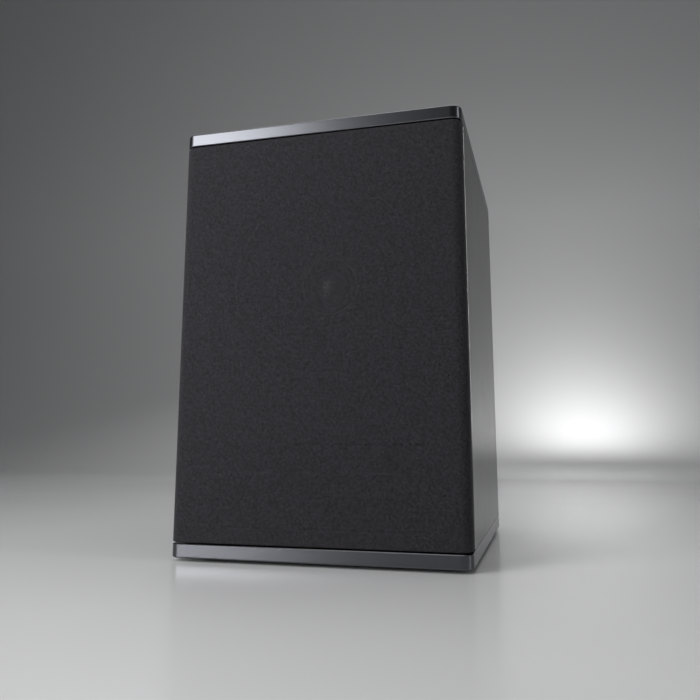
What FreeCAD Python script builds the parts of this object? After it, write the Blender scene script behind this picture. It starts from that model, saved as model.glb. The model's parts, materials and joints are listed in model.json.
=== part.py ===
import FreeCAD, Part
import math
import os

import Sketcher

# A two-way bookshelf loudspeaker with a coaxial driver, a flared slot port and a full-height
# cloth grille. Millimetres. X runs to the right, Y from front to back, Z up. The origin is the
# centre of the footprint, on the surface that the four rubber feet stand on.

V = FreeCAD.Vector

DIMENSIONS = {
    # outer casing
    "width": 220, "height": 328, "depth": 260, "front_round": 8, "rear_round": 6,
    "cap": 9.8, "cap_round": 1.2, "cap_bevel": 0.4, "shadow_gap": 1.2,
    "foot_height": 2.4, "foot_radius": 9, "foot_sink": 1, "foot_x": 84, "foot_y": 104,
    "wall": 15, "baffle": 18, "wall_bevel": 0.8,
    "brace_low": 100, "brace_thick": 12, "brace_rim": 22, "brace_round": 10,
    # grille
    "grille_deep": 14, "grille_gap": 0.4, "cloth": 0.6, "hem": 9,
    "window_radius": 75.5, "port_window_wide": 160, "port_window_tall": 61, "port_window_round": 6,
    "peg_x": 88, "peg_low": 27, "peg_high": 303, "peg_radius": 3, "peg_long": 11,
    "peg_play": 0.08, "socket_radius": 5, "socket_lip": 6.5, "socket_deep": 13,
    # slot port
    "port_centre": 53.8, "port_plate_wide": 156, "port_plate_tall": 57, "port_plate_round": 8,
    "port_plate": 3, "throat_wide": 118, "throat_tall": 16, "flare": 14, "port_wall": 2.5,
    "port_long": 165,
    # driver chassis; depths are measured back from the front of the baffle
    "driver_centre": 205.6, "flange_radius": 82.5, "flange": 5, "gasket": 0.8, "cutout_radius": 72.5,
    "basket_neck": 71.8, "basket_bore": 67.5, "ledge_radius": 73, "ledge_deep": 3,
    "basket_foot": 49, "floor_front": 50, "floor_back": 53, "landing_deep": 43,
    "landing_inner": 38, "landing_outer": 45.5, "floor_bore": 26,
    "basket_window_inner": 51, "basket_window_outer": 66, "basket_window_turn": 40,
    # moving system of the woofer
    "roll_inner": 60.5, "roll_outer": 70, "roll_skin": 0.7, "cone_back": 24, "cone_skin": 0.8,
    "coil_bore": 22, "former_skin": 0.3, "winding": 0.9, "former_end": 64, "coil_front": 49,
    "coil_back": 63, "spider_skin": 0.6, "spider_waves": 4, "spider_wave": 1.1,
    # motor
    "pole_radius": 21, "pole_bore": 6, "plate_bore": 24, "plate_radius": 46, "plate_back": 59,
    "magnet_bore": 30, "magnet_radius": 52, "magnet_back": 77, "yoke_radius": 48, "yoke_back": 83,
    # tweeter on the end of the pole
    "tweeter_radius": 19.5, "tweeter_front": 28, "dome_radius": 12.7, "dome_rise": 4.2,
    "dome_skin": 0.3, "dome_base": 29.6, "horn_front": 21.5, "horn_mouth": 20.4, "horn_throat": 15.6,
    "tweeter_bore": 15.2, "tweeter_vent": 3, "tweeter_skirt": 6, "tweeter_roll": 15.3,
    "tweeter_roll_skin": 0.25, "tweeter_winding": 0.35, "tweeter_magnet": 11.4,
    # connection panel on the back
    "cup_centre": 155, "cup_plate_wide": 112, "cup_plate_tall": 82, "cup_plate": 2.5,
    "cup_wide": 84, "cup_tall": 54, "cup_deep": 25.5, "cup_wall": 2.5, "cup_round": 6,
    "post_pitch": 19, "post_radius": 4, "post_bore": 2, "post_bore_deep": 16, "post_play": 0.05,
    "collar_radius": 8, "collar": 3, "post_end": 126, "cross_hole": 1.9, "cross_centre": 110.6,
    "stem_radius": 2.5, "stem_inner_end": 88, "washer": 0.9, "knob_radius": 8, "knob_end": 127,
    "knob_flutes": 18, "flute_radius": 0.9, "flute_long": 13.5, "nut_radius": 4.6, "nut_tall": 4,
    "tag": 0.8, "tag_wide": 4, "tag_long": 16,
    # crossover
    "board_low": 120, "board_tall": 80, "board_front": -35, "board_long": 110, "board": 1.6,
    "standoff": 8, "standoff_radius": 3.5, "board_hole": 1.6, "board_hole_inset": 6,
    "large_coil_y": -3, "large_coil_z": 168, "large_coil_outer": 24, "large_coil_inner": 11,
    "large_coil_tall": 20, "small_coil_y": 46, "small_coil_z": 172, "small_coil_outer": 16,
    "small_coil_inner": 7, "small_coil_tall": 14, "coil_round": 1.6, "bobbin_core": 10.8,
    "bobbin_bore": 8, "bobbin_tall": 22, "bobbin_flange_radius": 16, "bobbin_flange": 0.9,
    "can_z": 134, "resistor": 9,
    # fasteners and leads
    "screw_radius": 2, "screw_head": 3.8, "screw_play": 0.1, "thin_screw": 1.6, "pilot": 1.65,
    "port_screw_head": 2.8, "sunk_head": 2.4, "pan_head": 2.2, "slot_wide": 0.9, "slot_deep": 1.3,
    "slot_reach": 0.55, "cap_screw_x": 80, "cap_screw_y": 84, "lead_radius": 1.2,
}

# Film capacitors: where each can starts along Y, its length and its radius.
CANS = ((-24, 30, 8), (9, 30, 8), (42, 18, 6.5))

# Resistors: where each starts along Y and Z, and its length and height.
RESISTORS = ((26, 144, 20, 8), (64, 160, 8, 20))

# Fibre pads: the lowest and the highest X, Y and Z of each.
PADS = {
    "wadding_right": (72, 94, -84, 110, 118, 262),
    "wadding_top": (-90, 90, -52, 110, 274, 302),
    "wadding_rear": (-70, 68, 90, 114, 200, 270),
}

doc = FreeCAD.newDocument("bookshelf_speaker")
sheet = doc.addObject("Spreadsheet::Sheet", "Dims")
made = []

# Expressions that several pieces share.
FRONT = "(-Dims.depth / 2)"
REAR = "(Dims.depth / 2)"
SIDE = "(Dims.width / 2)"
INSIDE = "(Dims.width / 2 - Dims.wall)"
WALL_LOW = "(Dims.foot_height + Dims.cap + Dims.shadow_gap)"
WALL_HIGH = "(Dims.height - Dims.cap - Dims.shadow_gap)"
WALL_TALL = "(%s - %s)" % (WALL_HIGH, WALL_LOW)
CAP_TOP = "(Dims.foot_height + Dims.cap)"
CAP_UNDER = "(Dims.height - Dims.cap)"
BAFFLE_FRONT = "(Dims.grille_deep + Dims.grille_gap - Dims.depth / 2)"
BAFFLE_BACK = "(%s + Dims.baffle)" % BAFFLE_FRONT
BACK_FRONT = "(Dims.depth / 2 - Dims.wall)"
GRILLE_BACK = "(Dims.grille_deep - Dims.depth / 2)"
CUP_FLOOR = "(Dims.depth / 2 - Dims.cup_deep)"
COLLAR_TOP = "(%s + Dims.collar)" % CUP_FLOOR


def fill_sheet():
    """Write one row per driving dimension: its name, its value and an alias."""
    for row, (alias, number) in enumerate(DIMENSIONS.items(), start=1):
        sheet.set("A%d" % row, alias)
        sheet.set("B%d" % row, str(number))
        sheet.setAlias("B%d" % row, alias)
    doc.recompute()


def value(expression):
    """The number that an expression on the sheet gives."""
    return float(sheet.evalExpression(str(expression)))


# ---------------------------------------------------------------- sketches and features

def new_body(label):
    body = doc.addObject("PartDesign::Body", label)
    body.Label = label
    made.append(body)
    return body


def place(body, x="0", y="0", z="0"):
    for axis, expression in (("x", x), ("y", y), ("z", z)):
        body.setExpression("Placement.Base." + axis, expression)


def sketch_on(body, role, offset="0"):
    """A sketch on one of the body's own origin planes, moved along that plane's normal."""
    sketch = body.newObject("Sketcher::SketchObject", body.Name + "_sketch")
    plane = next(item for item in body.Origin.OriginFeatures if item.Role == role)
    sketch.AttachmentSupport = [(plane, "")]
    sketch.MapMode = "FlatFace"
    sketch.setExpression("AttachmentOffset.Base.z", offset)
    return sketch


def pin_point(sketch, geometry, end, x, y):
    """Hold one end of an edge, or a circle's centre, at a place given by two expressions."""
    for kind, expression in (("DistanceX", x), ("DistanceY", y)):
        rule = Sketcher.Constraint(kind, -1, 1, geometry, end, value(expression))
        sketch.setExpression("Constraints[%d]" % sketch.addConstraint(rule), expression)


def arc_between(start, finish, axis, spot, side):
    """An arc whose centre lies at one spot along an axis, on the chord's bisector.

    Side +1 bulges to the left of the way from start to finish, and -1 to the right.
    """
    chord = finish - start
    middle = (start + finish) / 2
    left = V(-chord.y, chord.x, 0).normalize()
    centre = middle + left * ((spot - getattr(middle, axis)) / getattr(left, axis))
    first, last = (finish, start) if side > 0 else (start, finish)
    begin, end = (math.atan2(tip.y - centre.y, tip.x - centre.x) for tip in (first, last))
    if end < begin:
        end += 2 * math.pi
    return Part.ArcOfCircle(Part.Circle(centre, V(0, 0, 1), (start - centre).Length), begin, end)


def outline(sketch, points, arcs=()):
    """A closed outline through the points.

    Each entry of arcs makes one edge an arc: its number, the axis and the expression that hold
    its centre, and the side it bulges to.
    """
    places = [V(value(x), value(y), 0) for x, y in points]
    bends = {number: (axis, expression, side) for number, axis, expression, side in arcs}
    first = sketch.GeometryCount
    count = len(places)
    ends = []
    for index, start in enumerate(places):
        finish = places[(index + 1) % count]
        if index in bends:
            axis, expression, side = bends[index]
            arc = arc_between(start, finish, axis, value(expression), side)
            edge = sketch.addGeometry(arc, False)
            kind = "DistanceX" if axis == "x" else "DistanceY"
            rule = Sketcher.Constraint(kind, -1, 1, edge, 3, value(expression))
            sketch.setExpression("Constraints[%d]" % sketch.addConstraint(rule), expression)
            turned = (sketch.Geometry[edge].StartPoint - start).Length > 1e-6
            ends.append((2, 1) if turned else (1, 2))
        else:
            sketch.addGeometry(Part.LineSegment(start, finish), False)
            ends.append((1, 2))
    for index in range(count):
        after = (index + 1) % count
        rule = Sketcher.Constraint("Coincident", first + index, ends[index][1],
                                   first + after, ends[after][0])
        sketch.addConstraint(rule)
        pin_point(sketch, first + index, ends[index][0], *points[index])


def rectangle(sketch, low_x, high_x, low_y, high_y):
    outline(sketch, [(low_x, low_y), (high_x, low_y), (high_x, high_y), (low_x, high_y)])


def circle(sketch, x, y, radius):
    ring = Part.Circle(V(value(x), value(y), 0), V(0, 0, 1), value(radius))
    number = sketch.addGeometry(ring, False)
    rule = Sketcher.Constraint("Radius", number, value(radius))
    sketch.setExpression("Constraints[%d]" % sketch.addConstraint(rule), radius)
    pin_point(sketch, number, 3, x, y)


def pad(body, sketch, length, backwards=False):
    feature = body.newObject("PartDesign::Pad", body.Name + "_pad")
    feature.Profile = sketch
    feature.setExpression("Length", length)
    feature.Reversed = backwards
    doc.recompute()
    return feature


def check_smaller(body, before, what):
    doc.recompute()
    if not body.Shape.Volume < before - 1e-6:
        raise RuntimeError("%s of %s cuts nothing" % (what, body.Label))


def pocket(body, sketch, length=None, backwards=False):
    """A cut of the given length, or through everything on both sides where none is given."""
    before = body.Shape.Volume
    feature = body.newObject("PartDesign::Pocket", body.Name + "_pocket")
    feature.Profile = sketch
    if length is None:
        feature.Type = "ThroughAll"
        feature.Midplane = True
    else:
        feature.setExpression("Length", length)
        feature.Reversed = backwards
    check_smaller(body, before, "a pocket")
    return feature


def revolution(body, points, arcs=()):
    """Turn an outline of (depth, radius) points about the body's own Y axis."""
    sketch = sketch_on(body, "YZ_Plane")
    outline(sketch, points, arcs)
    feature = body.newObject("PartDesign::Revolution", body.Name + "_turned")
    feature.Profile = sketch
    feature.ReferenceAxis = (sketch, ["H_Axis"])
    feature.Angle = 360
    doc.recompute()
    return feature


def polar(body, feature, sketch, count):
    pattern = body.newObject("PartDesign::PolarPattern", body.Name + "_ring")
    pattern.Originals = [feature]
    pattern.Axis = (sketch, ["N_Axis"])
    pattern.Angle = 360
    pattern.Occurrences = count
    body.Tip = pattern
    doc.recompute()
    return pattern


def edges_of(feature, chosen):
    names = ["Edge%d" % number for number, edge in enumerate(feature.Shape.Edges, 1) if chosen(edge)]
    if not names:
        raise RuntimeError("no edge found on " + feature.Name)
    return names


def dress(body, kind, size, chosen):
    """Round or bevel the chosen edges of the body's tip. kind is Fillet or Chamfer."""
    doc.recompute()
    base = body.Tip
    names = edges_of(base, chosen)
    feature = body.newObject("PartDesign::" + kind, body.Name + "_" + kind.lower())
    feature.Base = (base, names)
    feature.setExpression("Radius" if kind == "Fillet" else "Size", size)
    doc.recompute()
    return feature


def along(axis, **places):
    """Choose straight edges that run along an axis at the given places."""
    others = [name for name in "XYZ" if name != axis]

    def chosen(edge):
        if len(edge.Vertexes) != 2 or edge.Curve.TypeId != "Part::GeomLine":
            return False
        first, last = (vertex.Point for vertex in edge.Vertexes)
        flat = all(abs(getattr(first, name.lower()) - getattr(last, name.lower())) < 1e-6
                   for name in others)
        return flat and all(abs(getattr(first, name) - spot) < 1e-3 for name, spot in places.items())
    return chosen


def level(axis, spot):
    """Choose every edge that lies wholly at one place along an axis."""
    name = axis.lower()

    def chosen(edge):
        box = edge.BoundBox
        low, high = getattr(box, name.upper() + "Min"), getattr(box, name.upper() + "Max")
        return abs(low - spot) < 1e-3 and abs(high - spot) < 1e-3
    return chosen


def solid_group(label, solids):
    """Several alike or fixed-together solids under one name."""
    feature = doc.addObject("Part::Feature", label)
    feature.Label = label
    feature.Shape = Part.makeCompound(solids) if len(solids) > 1 else solids[0]
    made.append(feature)
    return feature


# ---------------------------------------------------------------- casing

def rounded_block(body, low, tall):
    """A plate of the casing's footprint with its four upright corners rounded."""
    sketch = sketch_on(body, "XY_Plane", low)
    rectangle(sketch, "-" + SIDE, SIDE, FRONT, REAR)
    pad(body, sketch, tall)
    half = value(SIDE)
    for side in (-half, half):
        dress(body, "Fillet", "Dims.front_round", along("Z", x=side, y=value(FRONT)))
        dress(body, "Fillet", "Dims.rear_round", along("Z", x=side, y=value(REAR)))


def screw_spots():
    """Where the four screws of each cap stand, as pairs of expressions."""
    return [(sx + "Dims.cap_screw_x", sy + "Dims.cap_screw_y") for sx in ("-", "") for sy in ("-", "")]


def make_top_cap():
    body = new_body("top_cap")
    rounded_block(body, CAP_UNDER, "Dims.cap")
    dress(body, "Fillet", "Dims.cap_round", level("Z", value("Dims.height")))
    dress(body, "Chamfer", "Dims.cap_bevel", level("Z", value(CAP_UNDER)))
    holes = sketch_on(body, "XY_Plane", CAP_UNDER)
    for x, y in screw_spots():
        circle(holes, x, y, "Dims.screw_radius + Dims.screw_play")
    pocket(body, holes, "7", backwards=True)


def make_bottom_cap():
    body = new_body("bottom_cap")
    rounded_block(body, "Dims.foot_height", "Dims.cap")
    dress(body, "Fillet", "Dims.cap_round", level("Z", value("Dims.foot_height")))
    dress(body, "Chamfer", "Dims.cap_bevel", level("Z", value(CAP_TOP)))
    seats = sketch_on(body, "XY_Plane", "Dims.foot_height")
    for sx in ("-", ""):
        for sy in ("-", ""):
            circle(seats, sx + "Dims.foot_x", sy + "Dims.foot_y", "Dims.foot_radius + 0.1")
    pocket(body, seats, "Dims.foot_sink", backwards=True)
    heads = sketch_on(body, "XY_Plane", "Dims.foot_height")
    for x, y in screw_spots():
        circle(heads, x, y, "Dims.screw_head + 0.3")
    pocket(body, heads, "3", backwards=True)
    holes = sketch_on(body, "XY_Plane", "Dims.foot_height")
    for x, y in screw_spots():
        circle(holes, x, y, "Dims.screw_radius + Dims.screw_play")
    pocket(body, holes)


def make_feet():
    """Four turned rubber feet, bonded into their seats and bevelled where they meet the shelf."""
    radius = value("Dims.foot_radius")
    tall = value("Dims.foot_height + Dims.foot_sink")
    feet = []
    for sign_x in (-1, 1):
        for sign_y in (-1, 1):
            spot = V(sign_x * value("Dims.foot_x"), sign_y * value("Dims.foot_y"), 0)
            foot = Part.makeCylinder(radius, tall, spot)
            rim = [edge for edge in foot.Edges if edge.BoundBox.ZMax < 1e-6]
            feet.append(foot.makeChamfer(0.8, rim))
    solid_group("rubber_feet", feet)


def make_side_panel(side):
    """An upright side of the cabinet, bevelled along its front edge and rounded at the rear."""
    body = new_body("side_panel_" + side)
    sketch = sketch_on(body, "XY_Plane", WALL_LOW)
    low, high = ("-" + SIDE, "-" + INSIDE) if side == "left" else (INSIDE, SIDE)
    rectangle(sketch, low, high, BAFFLE_FRONT, REAR)
    pad(body, sketch, WALL_TALL)
    outer = value("-" + SIDE if side == "left" else SIDE)
    dress(body, "Fillet", "Dims.rear_round", along("Z", x=outer, y=value(REAR)))
    dress(body, "Chamfer", "Dims.wall_bevel", along("Z", x=outer, y=value(BAFFLE_FRONT)))
    if side == "left":
        drill_board_holes(body)


def board_corners():
    """The four fixing points of the crossover board, as (Y, Z) expressions."""
    inset = "Dims.board_hole_inset"
    fronts = ("Dims.board_front + " + inset, "Dims.board_front + Dims.board_long - " + inset)
    heights = ("Dims.board_low + " + inset, "Dims.board_low + Dims.board_tall - " + inset)
    return [(y, z) for y in fronts for z in heights]


def drill_board_holes(body):
    holes = sketch_on(body, "YZ_Plane", "-" + INSIDE)
    for y, z in board_corners():
        circle(holes, y, z, "Dims.board_hole")
    pocket(body, holes, "9")


def make_level_panel(label, low, drilled_head):
    """The inner top or bottom of the cabinet. It stands proud of the sides by the shadow gap."""
    body = new_body(label)
    sketch = sketch_on(body, "XY_Plane", low)
    rectangle(sketch, "-" + INSIDE, INSIDE, BAFFLE_BACK, BACK_FRONT)
    pad(body, sketch, "Dims.wall")
    holes = sketch_on(body, "XY_Plane", low)
    for x, y in screw_spots():
        circle(holes, x, y, "Dims.screw_radius + Dims.screw_play")
    pocket(body, holes)
    if drilled_head:
        heads = sketch_on(body, "XY_Plane", low)
        for x, y in screw_spots():
            circle(heads, x, y, "Dims.screw_head + 0.4")
        pocket(body, heads, "4", backwards=True)


def make_front_baffle():
    """The board that carries the driver, the port and the grille sockets."""
    body = new_body("front_baffle")
    sketch = sketch_on(body, "XZ_Plane", "-" + BAFFLE_FRONT)
    rectangle(sketch, "-" + INSIDE, INSIDE, WALL_LOW, WALL_HIGH)
    pad(body, sketch, "Dims.baffle", backwards=True)
    cutouts = sketch_on(body, "XZ_Plane", "-" + BAFFLE_FRONT)
    circle(cutouts, "0", "Dims.driver_centre", "Dims.cutout_radius")
    port_rectangle(cutouts, "Dims.throat_wide + 2 * Dims.flare + 4.4",
                   "Dims.throat_tall + 2 * Dims.flare + 4.4")
    pocket(body, cutouts)
    seat = sketch_on(body, "XZ_Plane", "-" + BAFFLE_FRONT)
    circle(seat, "0", "Dims.driver_centre", "Dims.flange_radius + 0.4")
    pocket(body, seat, "Dims.flange + Dims.gasket")
    port_seat = sketch_on(body, "XZ_Plane", "-" + BAFFLE_FRONT)
    port_rectangle(port_seat, "Dims.port_plate_wide + 0.6", "Dims.port_plate_tall + 0.6")
    pocket(body, port_seat, "Dims.port_plate")
    sockets = sketch_on(body, "XZ_Plane", "-" + BAFFLE_FRONT)
    for x, z in peg_spots():
        circle(sockets, x, z, "Dims.socket_radius + 0.1")
    pocket(body, sockets, "Dims.socket_deep + 1")
    lips = sketch_on(body, "XZ_Plane", "-" + BAFFLE_FRONT)
    for x, z in peg_spots():
        circle(lips, x, z, "Dims.socket_lip + 0.1")
    pocket(body, lips, "1")
    pilots = sketch_on(body, "XZ_Plane", "-" + BAFFLE_FRONT)
    for x, z in driver_screw_spots() + port_screw_spots():
        circle(pilots, "%.6f" % x, "%.6f" % z, "Dims.pilot")
    pocket(body, pilots, "17")


def port_rectangle(sketch, wide, tall):
    """A rectangle about the port's centre, in a sketch that faces front."""
    rectangle(sketch, "-(%s) / 2" % wide, "(%s) / 2" % wide,
              "Dims.port_centre - (%s) / 2" % tall, "Dims.port_centre + (%s) / 2" % tall)


def make_rear_panel():
    body = new_body("rear_panel")
    sketch = sketch_on(body, "XZ_Plane", "-" + REAR)
    rectangle(sketch, "-" + INSIDE, INSIDE, WALL_LOW, WALL_HIGH)
    pad(body, sketch, "Dims.wall")
    hole = sketch_on(body, "XZ_Plane", "-" + REAR)
    cup_rectangle(hole, "Dims.cup_wide + 2 * Dims.cup_wall + 0.6",
                  "Dims.cup_tall + 2 * Dims.cup_wall + 0.6")
    pocket(body, hole)
    seat = sketch_on(body, "XZ_Plane", "-" + REAR)
    cup_rectangle(seat, "Dims.cup_plate_wide + 0.6", "Dims.cup_plate_tall + 0.6")
    pocket(body, seat, "Dims.cup_plate", backwards=True)
    corners = plate_corners("Dims.cup_plate_wide + 0.6", "Dims.cup_plate_tall + 0.6", "Dims.cup_centre")
    dress(body, "Fillet", "Dims.cup_round", corners)
    pilots = sketch_on(body, "XZ_Plane", "-" + REAR)
    for x, z in cup_screw_spots():
        circle(pilots, "%.6f" % x, "%.6f" % z, "Dims.pilot")
    pocket(body, pilots, "14", backwards=True)


def cup_rectangle(sketch, wide, tall):
    rectangle(sketch, "-(%s) / 2" % wide, "(%s) / 2" % wide,
              "Dims.cup_centre - (%s) / 2" % tall, "Dims.cup_centre + (%s) / 2" % tall)


def plate_corners(wide, tall, centre):
    """Choose the four edges along Y at the corners of a rectangle that faces front or back."""
    half_wide = value(wide) / 2
    half_tall = value(tall) / 2
    middle = value(centre)

    def chosen(edge):
        if not along("Y")(edge):
            return False
        spot = edge.Vertexes[0].Point
        return abs(abs(spot.x) - half_wide) < 1e-3 and abs(abs(spot.z - middle) - half_tall) < 1e-3
    return chosen


def make_window_brace():
    """A level brace with two large windows that ties all four walls together."""
    body = new_body("window_brace")
    sketch = sketch_on(body, "XY_Plane", "Dims.brace_low")
    rectangle(sketch, "-" + INSIDE, INSIDE, BAFFLE_BACK, BACK_FRONT)
    pad(body, sketch, "Dims.brace_thick")
    windows = sketch_on(body, "XY_Plane", "Dims.brace_low")
    edge = "(%s - Dims.brace_rim)" % INSIDE
    rectangle(windows, "-" + edge, edge, BAFFLE_BACK + " + Dims.brace_rim", "-Dims.brace_rim / 2 + 9")
    rectangle(windows, "-" + edge, edge, "Dims.brace_rim / 2 + 9", BACK_FRONT + " - Dims.brace_rim")
    pocket(body, windows)
    half = value(edge)
    dress(body, "Fillet", "Dims.brace_round",
          lambda item: along("Z")(item) and abs(abs(item.Vertexes[0].X) - half) < 1e-3)


# ---------------------------------------------------------------- grille

def peg_spots():
    """The four pegs, as (X, Z) expressions."""
    return [(sign + "Dims.peg_x", "Dims.peg_" + end) for sign in ("-", "") for end in ("low", "high")]


def make_grille_frame():
    """A moulded frame with a round window for the driver and a wide one for the port."""
    body = new_body("grille_frame")
    sketch = sketch_on(body, "XZ_Plane", "-(%s + Dims.cloth)" % FRONT)
    rectangle(sketch, "-%s + Dims.cloth" % SIDE, "%s - Dims.cloth" % SIDE,
              WALL_LOW + " + Dims.cloth", WALL_HIGH + " - Dims.cloth")
    pad(body, sketch, "Dims.grille_deep - 2 * Dims.cloth", backwards=True)
    front = value(FRONT + " + Dims.cloth")
    half = value(SIDE + " - Dims.cloth")
    for side in (-half, half):
        dress(body, "Fillet", "Dims.front_round - Dims.cloth", along("Z", x=side, y=front))
    windows = sketch_on(body, "XZ_Plane", "-" + FRONT)
    circle(windows, "0", "Dims.driver_centre", "Dims.window_radius")
    port_rectangle(windows, "Dims.port_window_wide", "Dims.port_window_tall")
    pocket(body, windows)
    dress(body, "Fillet", "Dims.port_window_round",
          plate_corners("Dims.port_window_wide", "Dims.port_window_tall", "Dims.port_centre"))
    seats = sketch_on(body, "XZ_Plane", "-%s + Dims.cloth" % GRILLE_BACK)
    for x, z in peg_spots():
        circle(seats, x, z, "Dims.peg_radius + 0.1")
    pocket(body, seats, "6", backwards=True)


def make_grille_cloth():
    """Stretch cloth over the frame's front and sides, turned over its back by a narrow hem."""
    body = new_body("grille_cloth")
    sketch = sketch_on(body, "XZ_Plane", "-" + FRONT)
    rectangle(sketch, "-" + SIDE, SIDE, WALL_LOW, WALL_HIGH)
    pad(body, sketch, "Dims.grille_deep", backwards=True)
    half = value(SIDE)
    for side in (-half, half):
        dress(body, "Fillet", "Dims.front_round", along("Z", x=side, y=value(FRONT)))
    hem = sketch_on(body, "XZ_Plane", "-" + GRILLE_BACK)
    rectangle(hem, "-%s + Dims.hem" % SIDE, "%s - Dims.hem" % SIDE,
              WALL_LOW + " + Dims.hem", WALL_HIGH + " - Dims.hem")
    pocket(body, hem, "Dims.cloth", backwards=True)
    hollow_cloth(body)


def hollow_cloth(body):
    """Take the frame's full outline out of the block, which leaves the skin of cloth."""
    half = value(SIDE + " - Dims.cloth")
    front = value(FRONT + " + Dims.cloth")
    deep = value("Dims.grille_deep - 2 * Dims.cloth")
    low = value(WALL_LOW + " + Dims.cloth")
    tall = value(WALL_TALL + " - 2 * Dims.cloth")
    block = Part.makeBox(2 * half, deep, tall, V(-half, front, low))
    upright = [edge for edge in block.Edges
               if along("Z")(edge) and abs(edge.Vertexes[0].Y - front) < 1e-6]
    core = block.makeFillet(value("Dims.front_round - Dims.cloth"), upright)
    inner = doc.addObject("Part::Feature", "grille_core")
    inner.Shape = core
    cloth = doc.addObject("Part::Cut", "cloth_skin")
    cloth.Base = body
    cloth.Tool = inner
    doc.recompute()
    made.remove(body)
    body.Label = "cloth_block"
    cloth.Label = "grille_cloth"
    made.append(cloth)


def make_grille_pegs():
    """Four pegs pressed into the frame, each with a rounded nose."""
    body = new_body("grille_pegs")
    root = "(%s - Dims.cloth - 5.8)" % GRILLE_BACK
    sketch = sketch_on(body, "XZ_Plane", "-" + root)
    for x, z in peg_spots():
        circle(sketch, x, z, "Dims.peg_radius")
    pad(body, sketch, "5.8 + Dims.cloth + Dims.peg_long", backwards=True)
    dress(body, "Fillet", "1.5", level("Y", value(GRILLE_BACK + " + Dims.peg_long")))


def make_grille_sockets():
    """Four soft cups in the baffle that grip the pegs."""
    body = new_body("grille_sockets")
    sketch = sketch_on(body, "XZ_Plane", "-" + BAFFLE_FRONT)
    for x, z in peg_spots():
        circle(sketch, x, z, "Dims.socket_radius")
    pad(body, sketch, "Dims.socket_deep", backwards=True)
    lips = sketch_on(body, "XZ_Plane", "-" + BAFFLE_FRONT)
    for x, z in peg_spots():
        circle(lips, x, z, "Dims.socket_lip")
    pad(body, lips, "1", backwards=True)
    bores = sketch_on(body, "XZ_Plane", "-" + BAFFLE_FRONT)
    for x, z in peg_spots():
        circle(bores, x, z, "Dims.peg_radius + Dims.peg_play")
    pocket(body, bores, "Dims.socket_deep - 1")


# ---------------------------------------------------------------- port

def make_port_duct():
    """A slot port: a face plate, a generously flared mouth and a long flat duct."""
    body = new_body("port_duct")
    plate = sketch_on(body, "XZ_Plane", "-" + BAFFLE_FRONT)
    port_rectangle(plate, "Dims.port_plate_wide", "Dims.port_plate_tall")
    pad(body, plate, "Dims.port_plate", backwards=True)
    dress(body, "Fillet", "Dims.port_plate_round",
          plate_corners("Dims.port_plate_wide", "Dims.port_plate_tall", "Dims.port_centre"))
    block = sketch_on(body, "XZ_Plane", "-(%s + Dims.port_plate)" % BAFFLE_FRONT)
    port_rectangle(block, "Dims.throat_wide + 2 * Dims.flare + 4", "Dims.throat_tall + 2 * Dims.flare + 4")
    pad(body, block, "Dims.baffle - Dims.port_plate", backwards=True)
    duct = sketch_on(body, "XZ_Plane", "-" + BAFFLE_BACK)
    port_rectangle(duct, "Dims.throat_wide + 2 * Dims.port_wall", "Dims.throat_tall + 2 * Dims.port_wall")
    pad(body, duct, "Dims.port_long - Dims.baffle", backwards=True)
    throat = sketch_on(body, "XZ_Plane", "-" + BAFFLE_FRONT)
    port_rectangle(throat, "Dims.throat_wide", "Dims.throat_tall")
    pocket(body, throat)
    dress(body, "Fillet", "Dims.throat_tall / 2 - 0.5",
          plate_corners("Dims.throat_wide", "Dims.throat_tall", "Dims.port_centre"))
    front = value(BAFFLE_FRONT)
    half_wide = value("Dims.throat_wide / 2")
    mouth = level("Y", front)
    dress(body, "Fillet", "Dims.flare",
          lambda edge: mouth(edge) and edge.BoundBox.XMax < half_wide + 0.01
          and edge.BoundBox.XMin > -half_wide - 0.01 and slot_edge(edge))
    holes = sketch_on(body, "XZ_Plane", "-" + BAFFLE_FRONT)
    for x, z in port_screw_spots():
        circle(holes, "%.6f" % x, "%.6f" % z, "Dims.pilot")
    pocket(body, holes)
    heads = sketch_on(body, "XZ_Plane", "-" + BAFFLE_FRONT)
    for x, z in port_screw_spots():
        circle(heads, "%.6f" % x, "%.6f" % z, "2.9")
    pocket(body, heads, "2.5")


def slot_edge(edge):
    """True for the edges of the throat's opening, not of the face plate round it."""
    half_tall = value("Dims.throat_tall / 2")
    middle = value("Dims.port_centre")
    box = edge.BoundBox
    return box.ZMax < middle + half_tall + 0.01 and box.ZMin > middle - half_tall - 0.01


def port_screw_spots():
    """Four screws in the corners of the port's face plate, as (X, Z)."""
    half_wide = value("Dims.port_plate_wide / 2") - 4
    half_tall = value("Dims.port_plate_tall / 2") - 4
    middle = value("Dims.port_centre")
    return [(x, middle + z) for x in (-half_wide, half_wide) for z in (-half_tall, half_tall)]


# ---------------------------------------------------------------- driver

def on_driver_axis(body):
    place(body, "0", BAFFLE_FRONT, "Dims.driver_centre")


def driver_body(label):
    body = new_body(label)
    on_driver_axis(body)
    return body


def ring_spots(radius, count, turn):
    """Places on a circle about the driver's axis, as (X, Z)."""
    middle = value("Dims.driver_centre")
    angles = [math.radians(turn + 360 * step / count) for step in range(count)]
    return [(radius * math.sin(angle), middle + radius * math.cos(angle)) for angle in angles]


def driver_screw_spots():
    return ring_spots(value("(Dims.flange_radius + Dims.ledge_radius) / 2"), 6, 30)


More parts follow.
